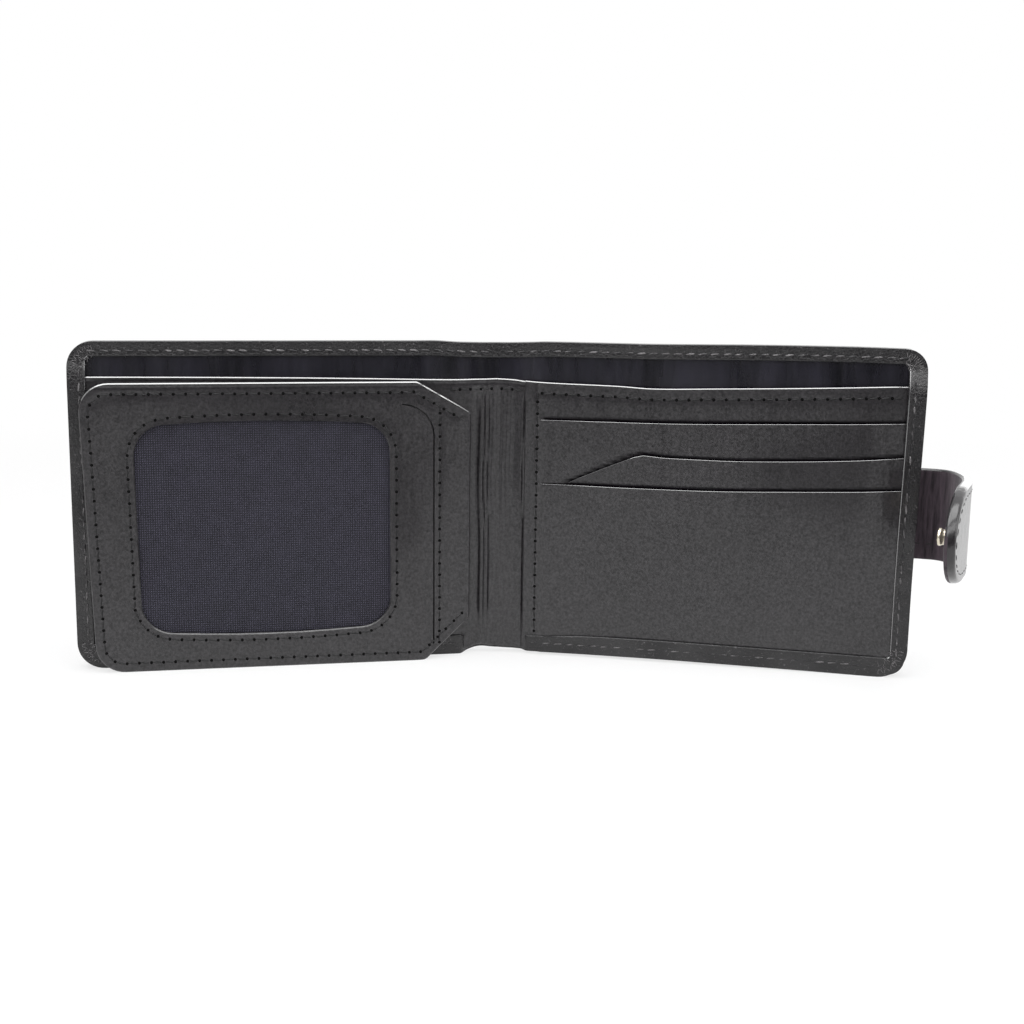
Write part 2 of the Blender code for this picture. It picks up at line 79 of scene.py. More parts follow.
class Wing:
    """One wing in its own plane: u from the fold to the free edge, w towards the reader, z up."""

    def __init__(self, name, sign, opening, **shape):
        self.name, self.sign, self.opening = name, sign, math.radians(opening)
        self.body = name + "_wing"
        vars(self).update(shape)

    def place(self, u, w, z):
        """The point in the world, in metres. The leather turns softly where it crosses the fold."""
        turn = -self.sign * self.opening * ease(u, -FOLD_REACH, FOLD_REACH)
        flat = Matrix.Rotation(turn, 2) @ Vector((self.sign * u, -w))
        x = SPINE_MIDDLE.x + self.sign * HALF_SPINE + flat.x
        return Vector((x, SPINE_MIDDLE.y + flat.y, z)) * MM

    def settle(self, u, w, z):
        """As place, for leather that is pressed thin at the sewn edges and follows the wing's bow."""
        edge = max(1 - (WING_LENGTH - u) / 16, 1 - z / 14)
        press = 1 - self.edge_press * ease(edge, 0, 1)
        if w > -0.7:
            w = -0.7 + (w + 0.7) * press
        w += self.bow * ease(u, 0, 27) * (1 - ease(u, 27, 104))
        lift = along(self.foot, u) * (1 - ease(z, 0.5, 5)) + along(self.top, u) * ease(z, 77, 82)
        return self.place(u + self.lean * ease(z, 20, 85) * max(u, 0) / WING_LENGTH, w, z + lift)

    def hem_level(self, u, z):
        """The turned edge's front: high over the pockets, low over the note lining, and gone at the spine."""
        near_fold = min(self.hem_front, 1.5)
        front = between(near_fold, self.hem_front, slot_open(u))
        low = between(NOTE_FLOOR + 0.05, front, ease(u, 0.4, 2.6))
        return between(low, TOP_HEM_FRONT, ease(z, 75.5, 82))

    def divider_rise(self, u, z):
        """How far the divider's top differs from straight, faded out lower down."""
        return (along(self.divider_edge, u) - DIVIDER_TOP) * ease(z, 52, DIVIDER_TOP - 0.8)

    def bend_over_spine(self, obj):
        start = self.place(-FOLD_REACH, 0, 0)
        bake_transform(obj)


def along(points, u):
    """The height at u of a smooth line through the points, which run from low u to high u."""
    if u <= points[0][0]:
        return points[0][1]
    for index in range(len(points) - 1):
        (u1, z1), (u2, z2) = points[index], points[index + 1]
        if u <= u2:
            before = points[index - 1] if index else (2 * u1 - u2, z1)
            after = points[index + 2] if index + 2 < len(points) else (2 * u2 - u1, z2)
            slope1 = (z2 - before[1]) / (u2 - before[0])
            slope2 = (after[1] - z1) / (after[0] - u1)
            t, span = (u - u1) / (u2 - u1), u2 - u1
            return (
                (2 * t**3 - 3 * t**2 + 1) * z1 + (t**3 - 2 * t**2 + t) * span * slope1
                + (3 * t**2 - 2 * t**3) * z2 + (t**3 - t**2) * span * slope2
            )
    return points[-1][1]


LEFT = Wing(
    "left", -1, 10, hem_front=1.7, bow=0.0, edge_press=0.25, lean=0.0, radii=(7.0, 6.5),
    divider_edge=[(-6.8, 75.95), (-3, 75.8), (3, 75.65), (10, 75.7), (25, 76.0), (50, 76.4), (98, 76.8)],
    foot=[(-6.8, 1.35), (-3.5, 1.6), (-1.5, 1.3), (1, 0.35), (2.8, 0), (6, 0)],
    top=[(-6.8, -0.4), (-2, -0.45), (2, -0.4), (5, -0.25), (9, 0), (14, 0)],
)
RIGHT = Wing(
    "right", 1, 11, hem_front=4.1, bow=-1.3, edge_press=0.42, lean=0.9, radii=(7.5, 5.5),
    divider_edge=[(-6.8, 75.95), (-2, 75.7), (1, 75.3), (6, 75.0), (12.7, 74.8), (26, 74.5), (34.8, 74.1),
                  (52.3, 74.7), (70, 75.4), (83, 76), (98.6, 76.7)],
    foot=[(-6.8, 1.35), (-2, 1.1), (3, 0.78), (35, 0.75), (55, 0.57), (75, 0.35), (85, 0.2), (96, 0), (104, 0)],
    top=[(-6.8, -0.4), (-2, -0.35), (2, -0.2), (6, 0), (30, 0), (40, 0.12), (51, 0.36), (61, 0.56), (71, 0.7),
         (87, 0.8), (104, 0.62)],
)


# Outlines

def headings(corners):
    """Each (u, z, radius) corner, with the headings from it back to the one before and on to the next."""
    for index, (u, z, radius) in enumerate(corners):
        corner = Vector((u, z))
        back = (Vector(corners[index - 1][:2]) - corner).normalized()
        onward = (Vector(corners[(index + 1) % len(corners)][:2]) - corner).normalized()
        yield corner, radius, back, onward


def rounded(corners, steps=8):
    """A closed outline from (u, z, radius) corners, with an arc in each corner that has a radius."""
    outline = []
    for corner, radius, back, onward in headings(corners):
        if radius <= 0:
            outline.append(corner)
            continue
        half = back.angle(onward) / 2
        centre = corner + (back + onward).normalized() * radius / math.sin(half)
        start = corner + back * radius / math.tan(half) - centre
        end = corner + onward * radius / math.tan(half) - centre
        turn = -start.angle_signed(end)
        for step in range(steps + 1):
            outline.append(centre + Matrix.Rotation(turn * step / steps, 2) @ start)
    return outline


def inset(corners, distance):
    """The same corners moved inwards by the distance, for a seam that runs beside an edge."""
    moved = []
    for corner, radius, back, onward in headings(corners):
        inward1, inward2 = Vector((back.y, -back.x)), Vector((-onward.y, onward.x))
        corner += (inward1 + inward2) * distance / (1 + inward1.dot(inward2))
        moved.append((corner.x, corner.y, max(radius - distance, 0.4) if radius else 0))
    return moved


def smooth_line(points, step=2.5):
    """Close points on a smooth line, from low u to high u."""
    count = max(2, round((points[-1][0] - points[0][0]) / step))
    return [
        (u, along(points, u))
        for u in (between(points[0][0], points[-1][0], index / count) for index in range(count + 1))
    ]


def straight(points, u):
    """The height at u of the straight lines through the points."""
    for (u1, z1), (u2, z2) in zip(points, points[1:]):
        if u <= u2:
            return between(z1, z2, max(u - u1, 0) / (u2 - u1))
    return points[-1][1]


def bowed_window(left, right, bottom, top, radius, bow, slant=1.2):
    """A window with bowed long sides, whose far side runs in towards its foot by the slant."""
    bows = [(step / 8, bow * (1 - math.sin(math.pi * step / 8))) for step in range(1, 8)]
    return [
        (left, bottom + bow, radius), *[(between(left, right - slant, share), bottom + dip, 0) for share, dip in bows],
        (right - slant, bottom + bow, radius), (right, top - bow, radius),
        *[(between(right, left, share), top - dip, 0) for share, dip in bows], (left, top - bow, radius),
    ]


def pocket_outline(near, top):
    """A pocket's panel: square at the fold, round at its lower free corner, with its top line given."""
    return rounded([(near, TUCK, 0), (POCKET_FAR, TUCK, 4.4)] + [(u, z, 0) for u, z in reversed(top)])


# Cutting and shaping leather

def draw_loop(shape, outline):
    corners = [shape.verts.new((u, 0, z)) for u, z in outline]
    return [shape.edges.new(pair) for pair in zip(corners, corners[1:] + corners[:1])]


def fill(shape, edges):
    bmesh.ops.triangle_fill(shape, use_beauty=True, use_dissolve=False, edges=edges, normal=(0, 1, 0))


def push(shape, geometry, distance):
    verts = [part for part in geometry if isinstance(part, bmesh.types.BMVert)]
    bmesh.ops.translate(shape, verts=verts, vec=(0, distance, 0))
    return [part for part in geometry if isinstance(part, bmesh.types.BMEdge)]


def round_edges(shape, edges, radius, segments):
    bmesh.ops.bevel(
        shape, geom=edges, offset=radius, offset_type="OFFSET", segments=segments, profile=0.5,
        affect="EDGES", clamp_overlap=True, material=-1,
    )


def rim_edges(shape):
    """The edges where a flat face meets an edge wall."""
    found = []
    for edge in shape.edges:
        if len(edge.link_faces) == 2:
            flat = [abs(face.normal.y) > 0.5 for face in edge.link_faces]
            if flat[0] != flat[1]:
                found.append(edge)
    return found


def cut(shape, place, normal, **cleared):
    bmesh.ops.bisect_plane(
        shape, geom=shape.verts[:] + shape.edges[:] + shape.faces[:], dist=0.001,
        plane_co=normal * place, plane_no=normal, **cleared,
    )


def cut_grid(shape, us, zs):
    """Cuts the piece along even lines, so that it can bend and dip."""
    for places, normal in ((us, Vector((1, 0, 0))), (zs, Vector((0, 0, 1)))):
        for place in places:
            cut(shape, place, normal)


def open_edges(shape):
    return [edge for edge in shape.edges if edge.is_boundary]


def cut_end(shape, u, keep_above):
    """Cuts the piece straight across at u and closes the cut."""
    cut(shape, u, Vector((1, 0, 0)), clear_inner=keep_above, clear_outer=not keep_above)
    bmesh.ops.holes_fill(shape, edges=open_edges(shape), sides=0)


def lines(start, end, step, *extra):
    count = max(1, round((end - start) / step))
    return sorted({round(between(start, end, index / count), 3) for index in range(count + 1)} | set(extra))


FOLD_LINES = tuple(lines(-6.4, 8.4, 0.4))
SLIT_MARK = 5
FLAT_NORMAL = 0.97


def on_path(path, place):
    return any((Vector((place.x, place.z)) - point).length < 0.001 for point in path)


def round_rim(shape, side, rim, segments):
    """Raises a flat face in steps, so that its rim is rounded, or skived flat where there is one step."""
    flat = [face for face in shape.faces if face.normal.y * side > 0.5]
    for step in range(segments):
        low, high = math.pi / 2 * step / segments, math.pi / 2 * (step + 1) / segments
        bmesh.ops.inset_region(
            shape, faces=flat, thickness=rim * (math.cos(low) - math.cos(high)), depth=0,
            use_boundary=True, use_even_offset=True,
        )
        verts = list({vert for face in flat for vert in face.verts})
        bmesh.ops.translate(shape, verts=verts, vec=(0, side * rim * (math.sin(high) - math.sin(low)), 0))


def cut_leather(outlines, low, high, rim, us, zs, slit=None, ends=(), rounded_sides=(-1, 1), segments=4):
    """A closed flat piece between two levels of w, with its rims shaped on one side or both.

    Its faces have index 1 on the upper edge, for a burnished edge, and 0 elsewhere.
    """
    shape = bmesh.new()
    drawn = [*outlines, slit] if slit else outlines
    fill(shape, [edge for outline in drawn for edge in draw_loop(shape, outline)])
    if slit:
        seen = set(shape.faces)
        fill(shape, [edge for edge in shape.edges if all(on_path(slit, vert.co) for vert in edge.verts)])
        for face in set(shape.faces) - seen:
            face.material_index = SLIT_MARK
    depth = max(1.05 * len(rounded_sides) * rim, high - low)
    raised = bmesh.ops.extrude_face_region(shape, geom=shape.faces[:])
    push(shape, raised["geom"], depth - rim * len(rounded_sides))
    bmesh.ops.recalc_face_normals(shape, faces=shape.faces)
    for side in rounded_sides:
        round_rim(shape, side, rim, segments)
    shape.normal_update()
    for face in shape.faces:
        if abs(face.normal.y) < FLAT_NORMAL:
            face.material_index = int(face.normal.z > 0.3)
    if slit:
        inside = [face for face in shape.faces if face.material_index == SLIT_MARK]
        bmesh.ops.delete(shape, geom=inside, context="FACES")
        bmesh.ops.bridge_loops(shape, edges=open_edges(shape))
    cut_grid(shape, us, zs)
    for u, keep_above in ends:
        cut_end(shape, u, keep_above)
    lowest = min(vert.co.y for vert in shape.verts)
    for vert in shape.verts:
        vert.co.y = between(low, high, (vert.co.y - lowest) / depth)
    return shape


def mesh_of(name, shape, *materials):
    mesh = bpy.data.meshes.new(name)
    shape.to_mesh(mesh)
    shape.free()
    for material in materials:
        mesh.materials.append(material)
    return mesh


def add_to_scene(name, data):
    obj = bpy.data.objects.new(name, data)
    bpy.context.scene.collection.objects.link(obj)
    return obj


def finish_piece(name, shape, settle, materials, slot, nodes, body=None, sharp=35):
    """Puts every point in its place, closes the mesh up and gives it its finish."""
    for vert in shape.verts:
        vert.co = settle(*vert.co)
    bmesh.ops.remove_doubles(shape, verts=shape.verts, dist=1e-7)
    bmesh.ops.recalc_face_normals(shape, faces=shape.faces)
    mesh = mesh_of(name, shape, *materials)
    mesh.shade_smooth()
    mesh.set_sharp_from_angle(angle=math.radians(sharp))
    obj = add_to_scene(name, mesh)
    if nodes:
        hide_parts(*nodes)
    if body:
        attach(obj, body)
    return obj


# Materials

class Value:
    """A number that changes over a surface. Sums on it add Math nodes."""

    def __init__(self, finish, socket):
        self.finish = finish
        self.socket = socket

    def sum_of(self, operation, *values, clamp=False):
        settings = {"operation": operation, "use_clamp": clamp}
        return self.finish.node("ShaderNodeMath", settings, dict(enumerate(values)))

    def __add__(self, other):
        return self.sum_of("ADD", self, other)

    def __sub__(self, other):
        return self.sum_of("SUBTRACT", self, other)

    def __rsub__(self, other):
        return self.sum_of("SUBTRACT", other, self)

    def __mul__(self, other):
        return self.sum_of("MULTIPLY", self, other)

    def __pow__(self, other):
        return self.sum_of("POWER", self, other)

    __radd__ = __add__
    __rmul__ = __mul__

    def within(self, low, high):
        """0 below low and 1 above high."""
        return self.sum_of("MULTIPLY", self.sum_of("SUBTRACT", self, low), 1 / (high - low), clamp=True)

    def wave(self):
        return self.sum_of("SINE", self)

    def size(self):
        return self.sum_of("ABSOLUTE", self)


class Nodes:
    """Adds nodes to the tree of a material or of the world."""

    def __init__(self, tree):
        self.tree = tree

    def node(self, kind, settings, sockets, output=0):
        """Adds a node of any type, with its settings first, and gives one of its outputs."""
        made = self.tree.nodes.new(kind)
        for key, setting in settings.items():
            if key == "stops":
                ramp = made.color_ramp.elements
                while len(ramp) < len(setting):
                    ramp.new(0.5)
                for element, (place, colour) in zip(ramp, setting):
                    element.position = place
                    element.color = (*colour, 1)
            else:
                setattr(made, key, setting)
        for key, value in sockets.items():
            self.feed(made.inputs[key], value)
        return Value(self, made.outputs[output]) if made.outputs else None

    def feed(self, socket, value):
        if isinstance(value, Value):
            self.tree.links.new(value.socket, socket)
        else:
            socket.default_value = value

    def seen_rays(self):
        """1 for camera, glass and mirror rays, each on its own, and 0 for the light that falls on things."""
        return [
            self.node("ShaderNodeLightPath", {}, {}, output)
            for output in ("Is Camera Ray", "Is Transmission Ray", "Is Glossy Ray")
        ]

    def parts(self, vector):
        split = self.node("ShaderNodeSeparateXYZ", {}, {0: vector}).socket.node
        return [Value(self, socket) for socket in split.outputs]


class Finish(Nodes):
    """One material and its nodes."""

    def __init__(self, name):
        self.material = bpy.data.materials.new(name)
        self.material.use_nodes = True
        super().__init__(self.material.node_tree)
        self.shader = self.tree.nodes["Principled BSDF"]
        self.object_place = self.node("ShaderNodeTexCoord", {}, {}, "Object")

    def stretched(self, along_x, along_y, along_z):
        """Object coordinates stretched, so that a pattern is longer one way."""
        return self.node("ShaderNodeMapping", {}, {"Vector": self.object_place, "Scale": (along_x, along_y, along_z)})

    def noise(self, per_metre, detail=3.0, rough=0.5, place=None, warp=0.0):
        sockets = {"Vector": place or self.object_place, "Scale": per_metre, "Detail": detail,
                   "Roughness": rough, "Distortion": warp}
        return self.node("ShaderNodeTexNoise", {}, sockets, "Fac")

    def cells(self, per_metre, feature="F1", place=None):
        sockets = {"Vector": place or self.object_place, "Scale": per_metre}
        return self.node("ShaderNodeTexVoronoi", {"feature": feature}, sockets, "Distance")

    def mix(self, share, first, second):
        return self.node("ShaderNodeMix", {"data_type": "RGBA"}, {0: share, 6: (*first, 1), 7: (*second, 1)}, 2)

    def bump(self, height, distance, strength=1.0, under=None):
        sockets = {"Height": height, "Distance": distance, "Strength": strength}
        if under:
            sockets["Normal"] = under
        return self.node("ShaderNodeBump", {}, sockets)

    def dull(self, share):
        """Painted shade: dull black where the share is 1."""
        black = self.node("ShaderNodeBsdfDiffuse", {}, {"Color": (0.0025, 0.0022, 0.0028, 1)})
        mixed = self.node("ShaderNodeMixShader", {}, {0: share, 1: Value(self, self.shader.outputs[0]), 2: black})
        self.feed(self.tree.nodes["Material Output"].inputs["Surface"], mixed)

    def set(self, **sockets):
        for name, value in sockets.items():
            self.feed(self.shader.inputs[name.replace("_", " ")], value)
        return self.material


def crinkled_leather():
    """The outer cover: glossy black leather, crackled into small pebbles."""
    finish = Finish("crinkled black leather")
    patch = finish.noise(70, 3)
    pebbles = finish.cells(1700, place=finish.stretched(1, 1, 0.8))
    creases = finish.cells(1150, "DISTANCE_TO_EDGE")
    grain = finish.noise(3400, 3, 0.6)
    waves = finish.noise(150, 2)
    crest = creases.within(0.0, 0.14)
    # Painted glints: sparse light specks in the base colour stand in for light caught on the crinkled grain.
    glint_specks = finish.noise(1500, 3, 0.8).within(0.60, 0.74)
    height = crest * 0.6 + (1 - pebbles) * 0.5 + grain * 0.35
    soft = finish.bump(waves, 0.0006, 0.6)
    return finish.set(
        Base_Color=finish.mix(patch * 0.08 + glint_specks * 0.92, (0.004, 0.0036, 0.0044), (0.13, 0.122, 0.127)),
        Roughness=0.24 + grain * 0.16 + (1 - crest) * 0.12,
        Specular_IOR_Level=0.55,
        Coat_Weight=patch.within(0.35, 0.65) * 0.35,
        Coat_Roughness=0.12,
        Normal=finish.bump(height, 0.00010, 0.7, soft),
    )


def smooth_leather():
    """The pockets, dividers and flap: fine-grained black leather with a glossy finish."""
    finish = Finish("smooth black leather")
    patch = finish.noise(45, 2)
    grain = finish.noise(3000, 3, 0.6)
    mottle = finish.noise(1400, 3, 0.75).within(0.34, 0.66)
    # Painted shade: where this attribute is 1 the leather turns dull black, in the line above each slot's edge.
    dye = finish.node("ShaderNodeAttribute", {"attribute_name": "dye"}, {}, "Fac")
    finish.dull(dye)
    pores = finish.cells(1500)
    waves = finish.noise(55, 2, 0.5, finish.stretched(1, 1, 0.45))
    ripples = finish.noise(240, 2, 0.5, finish.stretched(1.4, 1.4, 0.15))
    soft = finish.bump(waves * 1.0 + ripples * 0.3, 0.0010, 0.7)
    return finish.set(
        Base_Color=finish.mix(patch * 0.25 + mottle * 0.75, (0.001, 0.0008, 0.0012), (0.028, 0.0255, 0.0285)),
        Roughness=0.22 + patch * 0.08 + grain * 0.08,
        Specular_IOR_Level=0.55,
        Coat_Weight=patch * 0.1 + mottle * 0.5,
        Coat_Roughness=0.08,
        Normal=finish.bump(grain * 0.6 + pores * 0.4, 0.00006, 0.6, soft),
    )


def burnished_edge():
    """The cut edges: dyed, waxed and rubbed until they shine."""
    finish = Finish("burnished leather edge")
    rub = finish.noise(260, 3, 0.6)
    fibres = finish.noise(2800, 2, 0.5)
    return finish.set(
        Base_Color=finish.mix(rub * 0.7 + fibres * 0.3, (0.008, 0.0075, 0.009), (0.036, 0.034, 0.037)),
        Roughness=0.10 + fibres * 0.12 + rub * 0.08,
        IOR=2.0,
        Specular_IOR_Level=1.0,
        Normal=finish.bump(fibres, 0.00002, 0.4),
    )


def polished_leather():
    """The strap's outer face and its painted edge."""
    finish = Finish("polished black leather")
    patch = finish.noise(110, 3, 0.6)
    grain = finish.noise(2600, 3, 0.6)
    soft = finish.bump(patch, 0.0006, 0.6)
    return finish.set(
        Base_Color=finish.mix(patch * 0.6 + grain * 0.4, (0.008, 0.0075, 0.0085), (0.024, 0.022, 0.024)),
        Roughness=0.14 + patch * 0.12 + grain * 0.06,
        Specular_IOR_Level=0.5,
        Coat_Weight=0.1 + patch * 0.5,
        Coat_Roughness=0.10,
        Normal=finish.bump(grain, 0.00003, 0.5, soft),
    )


def pleated_leather():
    """Ridges of the cover at its corners, rubbed brighter than the leather round them."""
    finish = Finish("rubbed pleats")
    rub = finish.noise(900, 3, 0.6)
    return finish.set(
        Base_Color=finish.mix(rub, (0.012, 0.011, 0.012), (0.16, 0.15, 0.155)),
        Roughness=0.18 + rub * 0.15,
        Specular_IOR_Level=0.8,
        Normal=finish.bump(rub, 0.00004, 0.5),
    )


def painted_hole_shade():
    """Painted shade: dull black for the beads that stand in for the shade inside a stitch hole."""
    finish = Finish("needle hole")
    fibres = finish.noise(4000, 2)
    return finish.set(
        Base_Color=finish.mix(fibres, (0.001, 0.001, 0.001), (0.004, 0.004, 0.004)),
        Roughness=0.8 + fibres * 0.15,
        Specular_IOR_Level=0.1,
        Normal=finish.bump(fibres, 0.00005, 0.6),
    )


def lining_leather():
    """The note compartment: thin glossy lining."""
    finish = Finish("glossy lining")
    streaks = finish.noise(160, 3, 0.6, finish.stretched(1, 1, 0.15))
    waves = finish.noise(70, 2, 0.5, finish.stretched(1, 1, 0.3))
    grain = finish.noise(2400, 2)
    soft = finish.bump(waves + streaks * 0.3, 0.0012, 0.7)
    return finish.set(
        Base_Color=finish.mix(streaks.within(0.3, 0.7), (0.001, 0.001, 0.003), (0.013, 0.012, 0.020)),
        Roughness=0.20 + streaks * 0.16,
        Specular_IOR_Level=0.4,
        Coat_Weight=streaks.within(0.35, 0.65) * 0.3,
        Coat_Roughness=0.15,
        Normal=finish.bump(grain, 0.00004, 0.5, soft),
    )


def suede():
    """The strap's lining: matt suede with a brushed nap."""
    finish = Finish("black suede")
    nap = finish.noise(700, 4, 0.7, finish.stretched(1, 1, 0.10)).within(0.3, 0.7)
    fibres = finish.noise(7000, 2)
    return finish.set(
        Base_Color=finish.mix(nap, (0.006, 0.004, 0.006), (0.084, 0.062, 0.076)),
        Roughness=0.78 + fibres * 0.18,
        Specular_IOR_Level=0.3,
        Sheen_Weight=0.2,
        Sheen_Roughness=0.5,
        Normal=finish.bump(nap * 0.7 + fibres * 0.5, 0.00012, 0.7),
    )


def nylon_mesh():
    """The window's pane: navy nylon, woven in fine columns of raised dots."""
    finish = Finish("navy nylon weave")
    cloth = finish.node("ShaderNodeUVMap", {"uv_map": "weave"}, {})
    across, up, _ = finish.parts(cloth)
    turn = 2 * math.pi
    columns = (across * turn).wave() * 0.5 + 0.5
    rows = (up * turn + (across * math.pi).wave().size() * 1.2).wave() * 0.5 + 0.5
    dots = (columns * rows) ** 1.4
    uneven = finish.noise(300, 2)
    return finish.set(
        Base_Color=finish.mix(dots * 0.85 + uneven * 0.2, (0.002, 0.002, 0.004), (0.066, 0.062, 0.096)),
        Roughness=0.6 + dots * 0.15,
        Specular_IOR_Level=0.3,
        Sheen_Weight=0.08,
        Normal=finish.bump(dots, 0.00014, 0.9),
    )


def stitching_thread(name, dark, light, roughness):
    """Waxed black thread, with its twist and painted glints on some stitches."""
    finish = Finish(name)
    twist = finish.noise(5000, 2, 0.5, finish.stretched(1, 1, 0.5))
    # Painted glints: this patchy mask picks the stitches whose colour is lifted towards the light colour, for light
    # caught on them.
    worn = finish.noise(330, 2).within(0.42, 0.64)
    return finish.set(
        Base_Color=finish.mix(twist * worn, dark, light),
        Roughness=roughness + twist * 0.2,
        Normal=finish.bump(twist, 0.00008, 0.8),
    )


def snap_metal(name, dark, light, roughness):
    """Plated brass, finely turned and rubbed on its crown."""
    finish = Finish(name)
    rub = finish.noise(900, 3, 0.6)
    lathe = finish.noise(4000, 2, 0.5, finish.stretched(1, 1, 3))
    return finish.set(
        Base_Color=finish.mix(rub, dark, light),
        Metallic=1.0,
        Roughness=roughness + rub * 0.12,
        Normal=finish.bump(lathe, 0.00002, 0.4),
    )


def stiff_card():
    """Grey-brown board between the leathers."""
    finish = Finish("stiffener card")
    fibres = finish.noise(1500, 4, 0.6)
    return finish.set(
        Base_Color=finish.mix(fibres, (0.09, 0.075, 0.06), (0.17, 0.145, 0.12)),
        Roughness=0.85 + fibres * 0.1,
        Normal=finish.bump(fibres, 0.00006, 0.6),
    )


CRINKLED = crinkled_leather()
SMOOTH = smooth_leather()
LINING = lining_leather()
SUEDE = suede()
WEAVE = nylon_mesh()
EDGE = burnished_edge()
POLISHED = polished_leather()
PLEAT = pleated_leather()
HOLE_SHADE = painted_hole_shade()
THREAD = stitching_thread("waxed black thread", (0.003, 0.003, 0.0035), (0.014, 0.013, 0.015), 0.5)
# Painted glints: a light colour far paler than black thread, for light caught on the hem stitches.
GLINT_PAINTED_THREAD = stitching_thread("polished black thread", (0.012, 0.011, 0.013), (0.30, 0.285, 0.29), 0.25)
NICKEL = snap_metal("warm nickel", (0.62, 0.55, 0.42), (0.86, 0.80, 0.68), 0.16)
CARD = stiff_card()
INNER = ([SMOOTH, EDGE], "inner_leather")


# Stitches

def walk(path, pitch):
    """Even places along a path of points, each with its direction."""
    points = [Vector(point) for point in path]
    total = sum((b - a).length for a, b in zip(points, points[1:]))
    count = max(1, round(total / pitch))
    spots, want, done = [], total / count / 2, 0.0
    for a, b in zip(points, points[1:]):
        length = (b - a).length
        while length > 0 and want <= done + length + 1e-9 and len(spots) < count:
            spots.append((a + (b - a) * ((want - done) / length), (b - a).normalized()))
            want += total / count
        done += length
    return spots


def bead(shape, spot, level, heading, size, material):
    """A closed bead of half-lengths size along, out of and across the seam."""
    angle = math.atan2(heading.y, heading.x)
    place = Matrix.Translation((spot.x, level, spot.y)) @ Matrix.Rotation(-angle, 4, "Y")
    form = Matrix.Diagonal((*size, 1)) @ Matrix.Rotation(math.pi / 2, 4, "Y")
    made = bmesh.ops.create_uvsphere(shape, u_segments=6, v_segments=6, radius=1, matrix=place @ form)
    for face in {face for vert in made["verts"] for face in vert.link_faces}:
        face.material_index = material


def sew(name, runs, level, settle, slot, body=None, pitch=STITCH_PITCH, length=2.3, front=1, after=None,
        thread=THREAD, shaded_holes=True):
    """Stitches along runs of (u, z) points, half sunk into the leather at the level that level(u, z) gives."""
    shape = bmesh.new()
    for path in runs:
        for spot, heading in walk(path, pitch):
            slant = Matrix.Rotation(math.radians(6), 2) @ heading
            bead(shape, spot, level(*spot) + 0.03 * front, slant, (length / 2, 0.22, 0.2 if shaded_holes else 0.27), 0)
            # Painted shade: a dull black bead stands in for the shade inside each stitch hole.
            if shaded_holes:
                hole = spot - heading * pitch / 2
                bead(shape, hole, level(*hole) + 0.02 * front, heading, (0.4, 0.28, 0.46), 1)
    obj = finish_piece(name, shape, settle, [thread, HOLE_SHADE], slot, [], body, sharp=180)
    if after:
        after(obj)


# The cover of each wing, with its turned edges and note lining

WELL_ROUND, COVER_ROUND = 0.35, 1.35


def inside_hems(u, z):
    return u < WING_LENGTH - SIDE_HEM + 0.4 and BOTTOM_HEM - 0.4 < z < HEIGHT - TOP_HEM + 0.4


def make_shell(wing, nodes):
    """Cover, hems and note lining of one wing and half the spine, as one closed skin with rolled edges."""
    start = -HALF_SPINE - 2
    foot_radius, top_radius = wing.radii
    outer = rounded(
        [(start, 0, 0), (WING_LENGTH, 0, foot_radius), (WING_LENGTH, HEIGHT, top_radius), (start, HEIGHT, 0)], 10
    )
    inner_far, inner_near = WING_LENGTH - SIDE_HEM, start + 1
    wave = [(inner_near, 5.6), (2.9, 5.3), (19.4, 6.2), (36.7, 6.3), (55.2, 6.1), (77.7, 5.9), (93.3, 5.7),
            (inner_far - 1, 5.6)]
    foot = [(u, z, 0) for u, z in smooth_line(wave, 5)]
    top = HEIGHT - TOP_HEM
    inner = rounded(foot + [(inner_far, 5.6, 0.6), (inner_far, top, 1.0), (inner_near, top, 0)], 3)
    shape = bmesh.new()
    front_rim, well_rim = draw_loop(shape, outer), draw_loop(shape, inner)
    fill(shape, front_rim + well_rim)
    floor_rim = push(shape, bmesh.ops.extrude_edge_only(shape, edges=well_rim)["geom"], NOTE_FLOOR)
    fill(shape, floor_rim)
    back_rim = push(shape, bmesh.ops.extrude_edge_only(shape, edges=front_rim)["geom"], COVER_BACK)
    fill(shape, back_rim)
    bmesh.ops.recalc_face_normals(shape, faces=shape.faces)
    round_edges(shape, well_rim, WELL_ROUND, 3)
    wide = [
        edge for edge in rim_edges(shape)
        if not all(inside_hems(vert.co.x, vert.co.z) for vert in edge.verts)
    ]
    round_edges(shape, wide, COVER_ROUND, 6)
    us = lines(-6.0, 103, 2.3, *FOLD_LINES, 97.2, 98.4, 99.0, 99.3, 99.9, 101.4)
    zs = lines(1.4, 84.4, 2.4, 3.4, 4.6, 5.0, 5.4, 6.6, 7.4, 80.6, 81.6, 82.3, 83.4)
    cut_grid(shape, us, zs)
    cut_end(shape, -HALF_SPINE, True)
    shape.normal_update()
    for face in shape.faces:
        middle = face.calc_center_median()
        if inside_hems(middle.x, middle.z):
            on_wall = -0.34 < middle.y < -0.005 and abs(face.normal.y) < FLAT_NORMAL
            if all(abs(vert.co.y - NOTE_FLOOR) < 0.02 for vert in face.verts):
                face.material_index = 1
            elif middle.x > inner_far - 0.6 and on_wall:
                face.material_index = 2
    for vert in shape.verts:
        u, w, z = vert.co
        under = NOTE_FLOOR if inside_hems(u, z) and w > NOTE_FLOOR - 0.5 else COVER_BACK
        vert.co.y = between(under, wing.hem_level(u, z), 1 - w / under)
        if w > -0.05:
            vert.co.y -= hem_dip(u, z)
    wing.bend_over_spine(finish_piece(
        wing.name + "_cover_and_hems", shape, wing.settle, [CRINKLED, LINING, EDGE], "outer_leather", nodes
    ))


